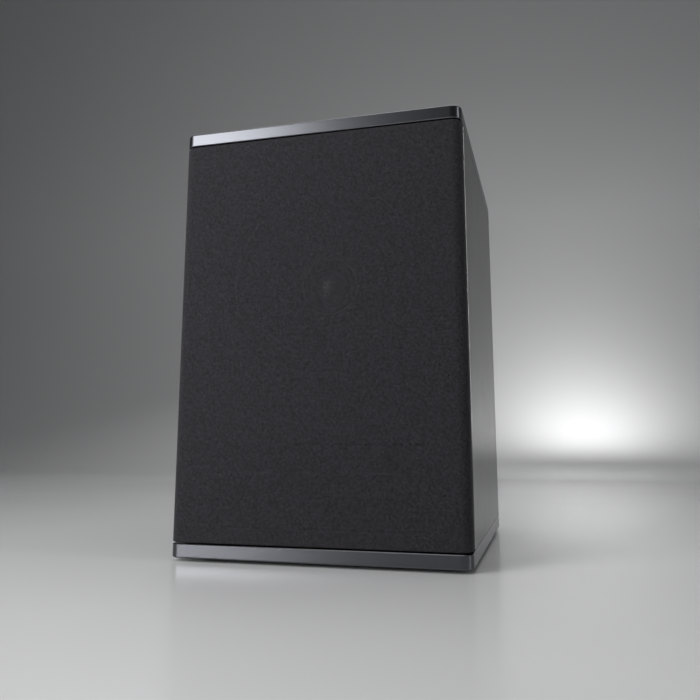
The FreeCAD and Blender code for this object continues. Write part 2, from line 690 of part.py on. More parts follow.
def make_woofer_basket():
    """The cast chassis: face ring, sloping wall with six windows, spider landing and floor."""
    body = driver_body("woofer_basket")
    revolution(body, [
        ("0", "Dims.ledge_radius"), ("0", "Dims.flange_radius"), ("Dims.flange", "Dims.flange_radius"),
        ("Dims.flange", "Dims.basket_neck"), ("13", "Dims.basket_neck"),
        ("Dims.floor_front - 4", "Dims.basket_foot"), ("Dims.floor_back", "Dims.basket_foot"),
        ("Dims.floor_back", "Dims.floor_bore"), ("Dims.floor_front", "Dims.floor_bore"),
        ("Dims.floor_front", "Dims.landing_inner"), ("Dims.landing_deep", "Dims.landing_inner"),
        ("Dims.landing_deep", "Dims.landing_outer"), ("12", "Dims.basket_bore"),
        ("Dims.ledge_deep", "Dims.basket_bore"), ("Dims.ledge_deep", "Dims.ledge_radius")])
    window = sketch_on(body, "XZ_Plane")
    half = math.radians(value("Dims.basket_window_turn") / 2)
    inner = value("Dims.basket_window_inner")
    outer = value("Dims.basket_window_outer")
    corners = [(radius * side * math.sin(half), radius * math.cos(half))
               for radius, side in ((inner, -1), (outer, -1), (outer, 1), (inner, 1))]
    arcs = [(1, "y", "0", 1), (3, "y", "0", -1)]
    outline(window, [("%.6f" % x, "%.6f" % y) for x, y in corners], arcs)
    polar(body, pocket(body, window), window, 6)
    holes = sketch_on(body, "XZ_Plane")
    middle = value("Dims.driver_centre")
    for x, z in driver_screw_spots():
        circle(holes, "%.6f" % x, "%.6f" % (z - middle), "Dims.screw_radius + Dims.screw_play")
    pocket(body, holes)
    seats = sketch_on(body, "XZ_Plane")
    for x, z in driver_screw_spots():
        circle(seats, "%.6f" % x, "%.6f" % (z - middle), "Dims.screw_head + 0.2")
    pocket(body, seats, "2.6")


def make_plain_ring(label, front, back, inner, outer):
    body = driver_body(label)
    revolution(body, [(front, inner), (front, outer), (back, outer), (back, inner)])
    return body


def make_driver_gasket():
    """A foam ring between the chassis and its seat, punched for the six screws."""
    body = make_plain_ring("driver_gasket", "Dims.flange", "Dims.flange + Dims.gasket",
                           "Dims.cutout_radius + 0.5", "Dims.flange_radius")
    middle = value("Dims.driver_centre")
    holes = sketch_on(body, "XZ_Plane")
    for x, z in driver_screw_spots():
        circle(holes, "%.6f" % x, "%.6f" % (z - middle), "Dims.screw_radius")
    pocket(body, holes)


def make_tag_strip():
    """A small fibre strip on the left spoke of the chassis, where the woofer's leads are soldered."""
    low = V(-63.1, value(BAFFLE_FRONT) + 28, value("Dims.driver_centre") - 8)
    solid_group("driver_tag_strip", [Part.makeBox(1.6, 12, 16, low)])


def make_surround():
    """A half roll of rubber between the cone's edge and the ledge of the chassis."""
    body = driver_body("woofer_surround")
    face = "(Dims.ledge_deep - Dims.roll_skin)"
    centre = face + " + 1.2"
    inset = "Dims.roll_skin * 0.83"
    revolution(body, [
        (face, "Dims.ledge_radius - 0.1"), (face, "Dims.roll_outer"), (face, "Dims.roll_inner"),
        (face, "Dims.roll_inner - 2.5"), ("Dims.ledge_deep", "Dims.roll_inner - 2.5"),
        ("Dims.ledge_deep", "Dims.roll_inner + " + inset),
        ("Dims.ledge_deep", "Dims.roll_outer - " + inset),
        ("Dims.ledge_deep", "Dims.ledge_radius - 0.1")],
        [(1, "x", centre, -1), (5, "x", centre, 1)])


def make_cone():
    """A straight-sided pulp cone from the roll down to the voice-coil former."""
    body = driver_body("woofer_cone")
    neck = "(Dims.coil_bore + Dims.former_skin)"
    revolution(body, [
        ("Dims.ledge_deep", "Dims.roll_inner - 0.2"), ("Dims.ledge_deep", "Dims.roll_inner - 3"),
        ("Dims.cone_back - 1", neck), ("Dims.cone_back + 1", neck),
        ("Dims.ledge_deep + Dims.cone_skin", "Dims.roll_inner - 2.2"),
        ("Dims.ledge_deep + Dims.cone_skin", "Dims.roll_inner - 0.2")])


def make_spider():
    """The centring spider: a corrugated disc between the former and its landing."""
    body = driver_body("woofer_spider")
    inner = value("Dims.coil_bore + Dims.former_skin")
    outer = value("Dims.landing_outer") - 0.6
    foot = value("Dims.landing_inner") + 0.6
    landing = value("Dims.landing_deep") - value("Dims.spider_skin")
    turns = 2 * int(value("Dims.spider_waves"))
    wave = value("Dims.spider_wave")
    step = (foot - inner - 2) / turns
    front = [(landing, outer), (landing, foot)]
    front += [(landing + (wave if number % 2 else -wave), foot - step * (number + 0.5))
              for number in range(turns)]
    front += [(landing, inner + 1.2), (landing, inner)]
    skin = value("Dims.spider_skin")
    back = [(depth + skin, radius) for depth, radius in reversed(front)]
    revolution(body, [("%.4f" % depth, "%.4f" % radius) for depth, radius in front + back])


def make_motor():
    """Top plate, ferrite ring and the yoke, whose hollow pole carries the tweeter."""
    make_plain_ring("top_plate", "Dims.floor_back", "Dims.plate_back",
                    "Dims.plate_bore", "Dims.plate_radius")
    make_plain_ring("ferrite_magnet", "Dims.plate_back", "Dims.magnet_back",
                    "Dims.magnet_bore", "Dims.magnet_radius")
    body = driver_body("yoke")
    revolution(body, [
        ("Dims.floor_front - 1", "Dims.pole_bore"), ("Dims.floor_front - 1", "Dims.pole_radius"),
        ("Dims.magnet_back", "Dims.pole_radius"), ("Dims.magnet_back", "Dims.yoke_radius"),
        ("Dims.yoke_back - 1.5", "Dims.yoke_radius"), ("Dims.yoke_back", "Dims.yoke_radius - 1.5"),
        ("Dims.yoke_back", "Dims.pole_bore")])


def make_voice_coil():
    bore = "Dims.coil_bore"
    skin = "(Dims.coil_bore + Dims.former_skin)"
    make_plain_ring("voice_coil_former", "Dims.cone_back - 2", "Dims.former_end", bore, skin)
    make_plain_ring("voice_coil", "Dims.coil_front", "Dims.coil_back", skin, skin + " + Dims.winding")


def make_tweeter():
    """A small dome unit in a cup on the pole, behind a short flared horn."""
    cup_back = "(Dims.floor_front - 1)"
    body = driver_body("tweeter_cup")
    revolution(body, [
        ("Dims.tweeter_front + 4", "Dims.tweeter_bore"),
        ("Dims.tweeter_front + 4", "Dims.tweeter_radius"), (cup_back, "Dims.tweeter_radius"),
        (cup_back, "Dims.tweeter_vent"), (cup_back + " - 2", "Dims.tweeter_vent"),
        (cup_back + " - 2", "Dims.tweeter_bore")])
    horn = driver_body("tweeter_horn")
    revolution(horn, [
        ("Dims.horn_front", "Dims.horn_mouth - 0.5"), ("Dims.horn_front", "Dims.horn_mouth"),
        ("Dims.tweeter_front + 4", "Dims.tweeter_radius"), ("Dims.tweeter_front + 4", "Dims.horn_throat"),
        ("Dims.tweeter_front", "Dims.horn_throat")],
        [(4, "x", "Dims.tweeter_front", 1)])
    dome = driver_body("tweeter_dome")
    rim = "Dims.dome_radius"
    base = "Dims.dome_base"
    centre = "((%s) ^ 2 - Dims.dome_rise ^ 2) / (2 * Dims.dome_rise)"
    revolution(dome, [
        (base + " - Dims.dome_rise", "0"), (base, rim), (base + " + Dims.tweeter_skirt", rim),
        (base + " + Dims.tweeter_skirt", rim + " - Dims.dome_skin"),
        (base + " + Dims.dome_skin", rim + " - Dims.dome_skin"),
        (base + " + Dims.dome_skin - Dims.dome_rise", "0")],
        [(0, "x", base + " + " + centre % rim, 1),
         (4, "x", base + " + Dims.dome_skin + " + centre % (rim + " - Dims.dome_skin"), -1)])
    roll = driver_body("tweeter_surround")
    back = base + " + Dims.tweeter_roll_skin"
    revolution(roll, [
        (base, "Dims.dome_radius + 0.05"), (back, "Dims.dome_radius + 0.05"),
        (back, "Dims.tweeter_roll"), (base, "Dims.tweeter_roll")], [(3, "x", base + " + 0.3", -1)])
    make_plain_ring("tweeter_voice_coil", base + " + 2.4", base + " + 5.4",
                    "Dims.dome_radius", "Dims.dome_radius + Dims.tweeter_winding")
    make_plain_ring("tweeter_magnet", "Dims.tweeter_front + 8", cup_back + " - 2", "2",
                    "Dims.tweeter_magnet")


# ---------------------------------------------------------------- connection panel

def cup_screw_spots():
    """Four screws in the corners of the connection panel, as (X, Z)."""
    half_wide = value("Dims.cup_plate_wide / 2") - 6
    half_tall = value("Dims.cup_plate_tall / 2") - 6
    middle = value("Dims.cup_centre")
    return [(x, middle + z) for x in (-half_wide, half_wide) for z in (-half_tall, half_tall)]


def make_terminal_cup():
    """A moulded cup set into the rear panel, so that the binding posts stay inside its depth."""
    body = new_body("terminal_cup")
    plate = sketch_on(body, "XZ_Plane", "-" + REAR)
    cup_rectangle(plate, "Dims.cup_plate_wide", "Dims.cup_plate_tall")
    pad(body, plate, "Dims.cup_plate")
    dress(body, "Fillet", "Dims.cup_round - 0.3",
          plate_corners("Dims.cup_plate_wide", "Dims.cup_plate_tall", "Dims.cup_centre"))
    block = sketch_on(body, "XZ_Plane", "-(%s - Dims.cup_plate)" % REAR)
    cup_rectangle(block, "Dims.cup_wide + 2 * Dims.cup_wall", "Dims.cup_tall + 2 * Dims.cup_wall")
    pad(body, block, "Dims.cup_deep")
    hollow = sketch_on(body, "XZ_Plane", "-" + REAR)
    cup_rectangle(hollow, "Dims.cup_wide", "Dims.cup_tall")
    pocket(body, hollow, "Dims.cup_deep", backwards=True)
    dress(body, "Fillet", "Dims.cup_round - 1",
          plate_corners("Dims.cup_wide", "Dims.cup_tall", "Dims.cup_centre"))
    holes = sketch_on(body, "XZ_Plane", "-" + REAR)
    for sign in ("-", ""):
        circle(holes, sign + "Dims.post_pitch / 2", "Dims.cup_centre", "Dims.stem_radius + 0.1")
    for x, z in cup_screw_spots():
        circle(holes, "%.6f" % x, "%.6f" % z, "Dims.screw_radius + Dims.screw_play")
    pocket(body, holes)
    heads = sketch_on(body, "XZ_Plane", "-" + REAR)
    for x, z in cup_screw_spots():
        circle(heads, "%.6f" % x, "%.6f" % z, "Dims.screw_head + 0.1")
    pocket(body, heads, "1.95", backwards=True)


def post_x(pole):
    return "(%sDims.post_pitch / 2)" % ("-" if pole == "negative" else "")


def make_binding_post(pole):
    """A plated post: stem, collar and stud, bored for a 4 mm plug and cross-drilled for bare wire."""
    body = new_body("binding_post_" + pole)
    place(body, post_x(pole), "0", "Dims.cup_centre")
    revolution(body, [
        ("Dims.stem_inner_end", "0"), ("Dims.stem_inner_end", "Dims.stem_radius"),
        (CUP_FLOOR, "Dims.stem_radius"), (CUP_FLOOR, "Dims.collar_radius"),
        (COLLAR_TOP + " - 0.5", "Dims.collar_radius"), (COLLAR_TOP, "Dims.collar_radius - 0.5"),
        (COLLAR_TOP, "Dims.post_radius"), ("Dims.post_end", "Dims.post_radius"),
        ("Dims.post_end", "Dims.post_bore"), ("Dims.post_end - Dims.post_bore_deep", "Dims.post_bore"),
        ("Dims.post_end - Dims.post_bore_deep - 1.2", "0")])
    hole = sketch_on(body, "XY_Plane")
    circle(hole, "0", "Dims.cross_centre", "Dims.cross_hole")
    pocket(body, hole)


def make_clamp_washer(pole):
    body = new_body("clamp_washer_" + pole)
    place(body, post_x(pole), COLLAR_TOP, "Dims.cup_centre")
    bore = "(Dims.post_radius + Dims.post_play)"
    revolution(body, [("0.1", bore), ("0.1", "Dims.knob_radius - 0.6"),
                      ("0.1 + Dims.washer", "Dims.knob_radius - 0.6"), ("0.1 + Dims.washer", bore)])


def make_knob(pole):
    """A fluted clamping knob that screws along the stud."""
    body = new_body("binding_knob_" + pole)
    place(body, post_x(pole), "0", "Dims.cup_centre")
    foot = "(%s + 0.2 + Dims.washer)" % COLLAR_TOP
    bore = "(Dims.post_radius + Dims.post_play)"
    revolution(body, [
        (foot, bore), (foot, "Dims.knob_radius - 0.8"), (foot + " + 2", "Dims.knob_radius - 0.8"),
        (foot + " + 3", "Dims.knob_radius"), ("Dims.knob_end - 1.2", "Dims.knob_radius"),
        ("Dims.knob_end", "Dims.knob_radius - 1.2"), ("Dims.knob_end", bore)])
    flute = sketch_on(body, "XZ_Plane", "-Dims.knob_end")
    circle(flute, "0", "Dims.knob_radius + 0.3", "Dims.flute_radius")
    cut = pocket(body, flute, "Dims.flute_long", backwards=True)
    polar(body, cut, flute, int(value("Dims.knob_flutes")))


def make_terminal_hardware():
    """Inside the cabinet each post has a solder tag held by a hexagon nut."""
    back = value(CUP_FLOOR) - value("Dims.cup_wall")
    middle = value("Dims.cup_centre")
    stem = value("Dims.stem_radius") + 0.1
    radius = value("Dims.nut_radius")
    tall = value("Dims.nut_tall")
    thick = value("Dims.tag")
    wide = value("Dims.tag_wide")
    long = value("Dims.tag_long")
    inward = V(0, -1, 0)
    nuts = []
    tags = []
    for x in (-value("Dims.post_pitch / 2"), value("Dims.post_pitch / 2")):
        spot = V(x, back, middle)
        plate = Part.makeCylinder(radius, thick, spot, inward)
        tongue = Part.makeBox(wide, thick, long - 3, V(x - wide / 2, back - thick, middle - long))
        tags.append(plate.fuse(tongue).cut(Part.makeCylinder(stem, thick, spot, inward)))
        seat = spot + inward * thick
        angles = [math.radians(60 * step) for step in range(7)]
        corners = [seat + V(radius * math.cos(angle), 0, radius * math.sin(angle)) for angle in angles]
        hexagon = Part.Face(Part.makePolygon(corners)).extrude(inward * tall)
        nuts.append(hexagon.cut(Part.makeCylinder(stem, tall, seat, inward)))
    solid_group("solder_tags", tags)
    solid_group("terminal_nuts", nuts)


# ---------------------------------------------------------------- fasteners

def screw(spot, direction, length, head_radius, shank_radius, sunk):
    """A cross-head screw whose head's top is at the spot; direction points down the shank."""
    if sunk:
        head = Part.makeCone(head_radius, shank_radius, value("Dims.sunk_head"), spot, direction)
    else:
        head = Part.makeCylinder(head_radius, value("Dims.pan_head"), spot, direction)
    shank = Part.makeCylinder(shank_radius, length, spot, direction)
    across = V(1, 0, 0) if abs(direction.x) < 0.5 else V(0, 1, 0)
    other = direction.cross(across)
    reach = head_radius * value("Dims.slot_reach")
    half = value("Dims.slot_wide / 2")
    body = head.fuse(shank)
    for first, second in ((across, other), (other, across)):
        points = [spot + first * reach * u + second * half * v
                  for u, v in ((-1, -1), (1, -1), (1, 1), (-1, 1), (-1, -1))]
        slot = Part.Face(Part.makePolygon(points)).extrude(direction * value("Dims.slot_deep"))
        body = body.cut(slot)
    return body.removeSplitter()


def make_screws():
    """Every set of like screws is one group of separate solids."""
    head = value("Dims.screw_head")
    shank = value("Dims.screw_radius")
    thin = value("Dims.thin_screw")
    port_head = value("Dims.port_screw_head")
    inward = V(0, 1, 0)
    front = value(BAFFLE_FRONT)
    rear = value(REAR)
    caps = [(value(x), value(y)) for x, y in screw_spots()]
    low_head = value("Dims.foot_height") + 0.6
    high_head = value(CAP_UNDER + " - Dims.wall") + 1.8
    solid_group("driver_screws", [screw(V(x, front + 0.4, z), inward, 16.5, head, thin, False)
                                  for x, z in driver_screw_spots()])
    solid_group("port_screws", [screw(V(x, front + 0.1, z), inward, 12, port_head, thin, True)
                                for x, z in port_screw_spots()])
    solid_group("terminal_screws", [screw(V(x, rear - 0.1, z), -inward, 12, head - 0.2, thin, True)
                                    for x, z in cup_screw_spots()])
    solid_group("bottom_cap_screws", [screw(V(x, y, low_head), V(0, 0, 1), 22, head, shank, False)
                                      for x, y in caps])
    solid_group("top_cap_screws", [screw(V(x, y, high_head), V(0, 0, 1), 18.5, head, shank, False)
                                   for x, y in caps])


# ---------------------------------------------------------------- crossover

def board_face():
    """The X of the board's component side."""
    return -value(INSIDE) + value("Dims.standoff") + value("Dims.board")


def make_crossover_board():
    body = new_body("crossover_board")
    sketch = sketch_on(body, "YZ_Plane", "-%s + Dims.standoff" % INSIDE)
    rectangle(sketch, "Dims.board_front", "Dims.board_front + Dims.board_long",
              "Dims.board_low", "Dims.board_low + Dims.board_tall")
    pad(body, sketch, "Dims.board")
    holes = sketch_on(body, "YZ_Plane", "-%s + Dims.standoff" % INSIDE)
    for y, z in board_corners():
        circle(holes, y, z, "Dims.board_hole")
    pocket(body, holes)


def make_board_fixings():
    wall = -value(INSIDE)
    spots = [(value(y), value(z)) for y, z in board_corners()]
    high = value("Dims.standoff")
    tubes = []
    for y, z in spots:
        base = V(wall, y, z)
        tube = Part.makeCylinder(value("Dims.standoff_radius"), high, base, V(1, 0, 0))
        bore = Part.makeCylinder(value("Dims.board_hole"), high, base, V(1, 0, 0))
        tubes.append(tube.cut(bore))
    solid_group("board_standoffs", tubes)
    solid_group("board_screws", [screw(V(board_face() + 2.2, y, z), V(-1, 0, 0), 18, 3, 1.5, False)
                                 for y, z in spots])


def coil(spot, outer, inner, tall):
    """A winding with rounded edges, its axis along X."""
    rightwards = V(1, 0, 0)
    whole = Part.makeCylinder(outer, tall, spot, rightwards)
    ring = whole.cut(Part.makeCylinder(inner, tall, spot, rightwards))
    outside = [edge for edge in ring.Edges if abs(edge.BoundBox.YLength - 2 * outer) < 0.1
               and edge.BoundBox.XLength < 0.1]
    return ring.makeFillet(value("Dims.coil_round"), outside)


def make_coil(label, size, lift):
    """A coil on the board whose sheet values begin with its size, lifted off the board's face."""
    outer, inner, tall, y, z = (value("Dims.%s_coil_%s" % (size, part))
                                for part in ("outer", "inner", "tall", "y", "z"))
    solid_group(label, [coil(V(board_face() + lift, y, z), outer, inner, tall)])


def make_crossover_parts():
    """Coils, capacitors and resistors, all seated on the board's face."""
    make_coil("woofer_inductor", "large", 1)
    make_coil("tweeter_inductor", "small", 0.1)
    face = board_face()
    foot = V(face, value("Dims.large_coil_y"), value("Dims.large_coil_z"))
    tall = value("Dims.bobbin_tall")
    rightwards = V(1, 0, 0)
    core = Part.makeCylinder(value("Dims.bobbin_core"), tall, foot, rightwards)
    flange = Part.makeCylinder(value("Dims.bobbin_flange_radius"), value("Dims.bobbin_flange"),
                               foot, rightwards)
    bore = Part.makeCylinder(value("Dims.bobbin_bore"), tall, foot, rightwards)
    solid_group("inductor_bobbin", [core.fuse(flange).cut(bore)])
    cans = []
    for start, long, radius in CANS:
        foot = V(face + radius + 0.2, start, value("Dims.can_z"))
        can = Part.makeCylinder(radius, long, foot, V(0, 1, 0))
        cans.append(can.makeFillet(1, can.Edges[:1] + can.Edges[-1:]))
    solid_group("film_capacitors", cans)
    blocks = []
    for start, low, long, tall in RESISTORS:
        block = Part.makeBox(value("Dims.resistor"), long, tall, V(face + 0.2, start, low))
        blocks.append(block.makeChamfer(0.6, block.Edges))
    solid_group("ceramic_resistors", blocks)


# ---------------------------------------------------------------- leads and lining

def route_tube(points, radius):
    """A tube along straight runs joined by tangent arcs, each as large as its two runs allow."""
    edges = []
    start = points[0]
    for index in range(1, len(points) - 1):
        before, corner, after = points[index - 1:index + 2]
        back = before - corner
        ahead = after - corner
        turn = math.pi - back.getAngle(ahead)
        reach = 0.45 * min(back.Length, ahead.Length)
        bend = reach / math.tan(turn / 2)
        first = corner + V(back).normalize() * reach
        last = corner + V(ahead).normalize() * reach
        inward = (V(back).normalize() + V(ahead).normalize()).normalize()
        middle = corner + inward * (bend / math.cos(turn / 2) - bend)
        edges.append(Part.LineSegment(start, first).toShape())
        edges.append(Part.Arc(first, middle, last).toShape())
        start = last
    edges.append(Part.LineSegment(start, points[-1]).toShape())
    path = Part.Wire(edges)
    section = Part.Wire([Part.makeCircle(radius, points[0], points[1] - points[0])])
    tube = path.makePipeShell([section], True, True)
    expected = math.pi * radius * radius * path.Length
    if abs(tube.Volume / expected - 1) > 0.01:
        raise RuntimeError("a lead's volume is wrong")
    return tube


def make_leads():
    """Insulated leads from the posts to the board, and from the board to the two voice coils."""
    radius = value("Dims.lead_radius")
    face = board_face()
    tag_y = value(CUP_FLOOR) - value("Dims.cup_wall") - 0.8 - radius - 0.1
    post_z = value("Dims.cup_centre")
    axis_z = value("Dims.driver_centre")
    for label, pole in (("positive_leads", 1), ("negative_leads", -1)):
        post = pole * value("Dims.post_pitch / 2")
        pin = pole * 2.2
        supply = [V(post, tag_y, post_z - 13), V(post, tag_y - 2.4, post_z - 24),
                  V(post - 7, 91, 122 + 3 * pole), V(-34, 83, 119 + 3 * pole),
                  V(-56, 75, 124 + 3 * pole), V(-70, 69, 137 + 3 * pole),
                  V(face + 1.4, 62 + 5 * pole, 151)]
        woofer = [V(face + 1.4, 27, 195 + 2 * pole), V(face + 6, 20, 206 + 3 * pole),
                  V(-75, 2, 214 + 3 * pole), V(-71, -20, 217 + 3 * pole),
                  V(-68, -42, 215 + 3 * pole), V(-65, -62, 209 + 4 * pole),
                  V(-64.4, -82, axis_z + 5 * pole)]
        tweeter = [V(face + 1.4, 47 + 4 * pole, 195), V(face + 7, 43 + 4 * pole, 206 + 2 * pole),
                   V(-64, 34 + 3 * pole, 214 + 3 * pole), V(-41, 21 + 2 * pole, 216 + 3 * pole),
                   V(-19, 6 + pole, 212 + 2 * pole), V(pin, -12, axis_z + 1),
                   V(pin, -36, axis_z), V(pin, -66.2, axis_z)]
        solid_group(label, [route_tube(points, radius) for points in (supply, woofer, tweeter)])


def make_wadding():
    """Three pads of polyester fibre that line the walls round the driver."""
    for label, (left, right, front, back, low, high) in PADS.items():
        block = Part.makeBox(right - left, back - front, high - low, V(left, front, low))
        solid_group(label, [block.makeFillet(6, block.Edges)])


# ---------------------------------------------------------------- everything

def build():
    fill_sheet()
    make_top_cap()
    make_bottom_cap()
    make_feet()
    for side in ("left", "right"):
        make_side_panel(side)
    make_level_panel("top_panel", CAP_UNDER + " - Dims.wall", True)
    make_level_panel("bottom_panel", CAP_TOP, False)
    make_front_baffle()
    make_rear_panel()
    make_window_brace()
    make_grille_frame()
    make_grille_cloth()
    make_grille_pegs()
    make_grille_sockets()
    make_port_duct()
    make_woofer_basket()
    make_driver_gasket()
    make_tag_strip()
    make_plain_ring("trim_ring", "0.4", "Dims.ledge_deep - Dims.roll_skin", "Dims.roll_outer + 0.8",
                    "Dims.ledge_radius - 0.1")
    make_surround()
    make_cone()
    make_spider()
    make_motor()
    make_voice_coil()
    make_tweeter()
    make_terminal_cup()
    for pole in ("positive", "negative"):
        make_binding_post(pole)
        make_clamp_washer(pole)
        make_knob(pole)
    make_terminal_hardware()
    make_screws()
    make_crossover_board()
    make_board_fixings()
    make_crossover_parts()
    make_leads()
    make_wadding()


def export():
    """Refuse anything failed or invalid, then write one STEP file per sub-part."""
    doc.recompute()
    for item in doc.Objects:
        if "Invalid" in item.State or "Error" in item.State:
            raise RuntimeError("%s is in state %s" % (item.Name, item.State))
    for item in made:
        if item.Shape.isNull() or not item.Shape.isValid() or not item.Shape.Solids:
            raise RuntimeError(item.Label + " has no valid solid")
    os.makedirs("parts", exist_ok=True)
    for item in made:
        item.Shape.exportStep("parts/%s.step" % item.Label)
    print("%d sub-parts" % len(made))


build()
export()
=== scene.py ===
import json
import math

import bmesh
import bpy
import numpy as np
from bpy.props import FloatProperty, FloatVectorProperty, IntProperty, PointerProperty
from bpy.types import Operator, Panel, PropertyGroup
from mathutils import Matrix, Vector


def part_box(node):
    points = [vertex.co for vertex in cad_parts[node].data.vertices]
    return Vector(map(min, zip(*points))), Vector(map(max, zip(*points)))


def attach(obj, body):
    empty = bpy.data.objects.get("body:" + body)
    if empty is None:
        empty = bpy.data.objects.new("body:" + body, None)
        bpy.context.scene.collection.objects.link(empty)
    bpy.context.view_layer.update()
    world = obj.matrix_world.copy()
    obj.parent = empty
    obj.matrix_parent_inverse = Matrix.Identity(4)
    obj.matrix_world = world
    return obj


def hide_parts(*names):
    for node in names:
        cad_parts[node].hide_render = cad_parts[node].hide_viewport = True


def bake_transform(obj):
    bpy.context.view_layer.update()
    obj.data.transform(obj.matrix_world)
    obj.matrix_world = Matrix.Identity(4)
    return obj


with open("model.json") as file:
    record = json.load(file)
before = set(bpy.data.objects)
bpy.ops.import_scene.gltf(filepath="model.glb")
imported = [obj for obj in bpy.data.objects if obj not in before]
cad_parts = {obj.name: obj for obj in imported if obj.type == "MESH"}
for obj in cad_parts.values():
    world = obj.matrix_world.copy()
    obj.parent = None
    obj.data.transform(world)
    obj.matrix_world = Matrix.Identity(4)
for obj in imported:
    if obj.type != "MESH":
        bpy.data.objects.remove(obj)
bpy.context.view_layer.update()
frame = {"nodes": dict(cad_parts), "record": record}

bl_info = {
    "name": "Bookshelf Speaker",
    "version": (1, 0, 0),
    "blender": (4, 5, 0),
    "location": "View3D > Sidebar > Speaker",
    "description": "Finishes the packed speaker: grille cloth, moving skins, windings, lining and stage",
    "category": "Object",
}


def span(node):
    """The lowest and highest corner of a CAD node, as arrays in metres."""
    low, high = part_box(node)
    return np.array(low), np.array(high)


# The driver's axis runs along Y through the middle of its ring magnet.
MAGNET_LOW, MAGNET_HIGH = span("ferrite_magnet")
AXIS_Z = float(MAGNET_LOW[2] + MAGNET_HIGH[2]) / 2
BAFFLE_Y = float(span("front_baffle")[0][1])

# Each bending skin: the radii between which it bends, and its depth behind the baffle's front.
ROLL_OUTER, ROLL_INNER, ROLL_DEPTH = 0.0700, 0.0605, 0.00264
SPIDER_OUTER, SPIDER_INNER, SPIDER_DEPTH = 0.0380, 0.0238, 0.0427
TWEETER_OUTER, TWEETER_INNER, TWEETER_DEPTH = 0.0150, 0.0130, 0.02972

# Round of the cloth over the frame's two front corners.
CLOTH_CORNER = 0.008

# Each air-cored coil: its node, the radius of its bore and the setting of its wire.
COILS = (("woofer_inductor", 0.0110, "heavy_wire"), ("tweeter_inductor", 0.0070, "light_wire"))

# Each fibre pad and the axis along which it is thin.
PADS = (("wadding_top", 2), ("wadding_right", 0), ("wadding_rear", 1))

# A point on the driver's axis, inside the cabinet.
SPEAKER_MIDDLE = (0.0, 0.0, AXIS_Z)

# Each soft light: its name, its place, the point it faces, its two sides and the setting of its power.
LIGHTS = (
    ("key_softbox", (-0.605, -0.89, 0.46), SPEAKER_MIDDLE, (0.54, 0.80), "key"),
    ("strip_light", (1.18, -0.222, 0.47), (0.11, -0.115, 0.2), (0.06, 0.78), "strip"),
    ("overhead_panel", (0.0, -0.1, 1.2), SPEAKER_MIDDLE, (0.9, 0.9), "overhead"),
    ("rear_fill", (-0.75, 1.15, 1.15), SPEAKER_MIDDLE, (0.8, 0.8), "rear"),
    ("backdrop_glow", (0.26, 1.32, 0.32), (0.26, 1.72, 0.27), (0.24, 0.24), "glow"),
)

# The camera: its place, its turn to the left and its tilt upwards in radians, and its lens shift.
CAMERA_SPOT = (0.16119, -0.62682, 0.08603)
CAMERA_YAW, CAMERA_PITCH = 0.2619, 0.1760
CAMERA_SHIFT = (-0.0024, -0.0544)


# ------------------------------------------------------------------ sizes and colours to change

def colour(name, description, default):
    return FloatVectorProperty(name=name, description=description, default=default,
                               subtype="COLOR", size=3, min=0.0, max=1.0)


def length(name, description, default):
    return FloatProperty(name=name, description=description, default=default,
                         unit="LENGTH", subtype="DISTANCE", min=0.0, precision=5)


def share(name, description, default):
    return FloatProperty(name=name, description=description, default=default,
                         subtype="FACTOR", min=0.0, max=1.0)


def watts(name, description, default):
    return FloatProperty(name=name, description=description, default=default, min=0.0)


class GrilleSettings(PropertyGroup):
    yarn: colour("Yarn", "Colour of the cloth's yarn on its crests", (0.0158, 0.0152, 0.0190))
    pitch: length("Yarn pitch", "Distance from one yarn to the next", 0.00066)
    end_round: length("End round", "Round of the cloth over the frame's two ends", 0.0009)
    hem: length("Hem", "Width of the cloth turned in behind the frame", 0.009)
    openness: share("Openness", "How clear the gaps between crossing yarns are", 0.50)


class CasingSettings(PropertyGroup):
    lacquer: colour("Lacquer", "Colour of the lacquered walls", (0.012, 0.012, 0.013))
    metal: colour("Caps", "Colour of the anodised caps", (0.108, 0.111, 0.122))
    board: colour("Board", "Colour of bare fibreboard", (0.33, 0.225, 0.135))
    plastic: colour("Plastic", "Colour of the moulded black parts", (0.018, 0.018, 0.019))


class DriverSettings(PropertyGroup):
    pulp: colour("Cone", "Colour of the pressed pulp", (0.045, 0.044, 0.043))
    rubber: colour("Roll", "Colour of the rubber roll", (0.021, 0.021, 0.022))
    spider: colour("Spider", "Colour of the resin-dipped spider", (0.46, 0.31, 0.12))
    roll_rise: length("Roll rise", "Height of the roll's crest over its flats", 0.0038)
    cone_rib: length("Cone rib", "Height of the ribs pressed into the cone", 0.00028)
    corrugation: length("Corrugation", "Half the height of the spider's waves", 0.0010)


class PanelSettings(PropertyGroup):
    gold: colour("Gold", "Colour of the plated posts", (0.83, 0.60, 0.25))
    positive: colour("Positive", "Colour of the positive knob and leads", (0.42, 0.012, 0.012))
    negative: colour("Negative", "Colour of the negative knob and leads", (0.018, 0.018, 0.018))


class CrossoverSettings(PropertyGroup):
    copper: colour("Winding", "Colour of enamelled copper", (0.66, 0.23, 0.085))
    mask: colour("Board", "Colour of the circuit board's solder mask", (0.022, 0.11, 0.045))
    heavy_wire: length("Heavy wire", "Thickness of the large coil's wire", 0.00125)
    light_wire: length("Light wire", "Thickness of the small coil's wire", 0.0009)


class LiningSettings(PropertyGroup):
    fibre: colour("Fibre", "Colour of the polyester fibre", (0.80, 0.80, 0.77))
    lump: length("Lump", "Typical distance between lumps of the pads", 0.026)
    strands: IntProperty(name="Loose fibres", description="Loose fibres on each pad",
                         default=900, min=0, max=4000)


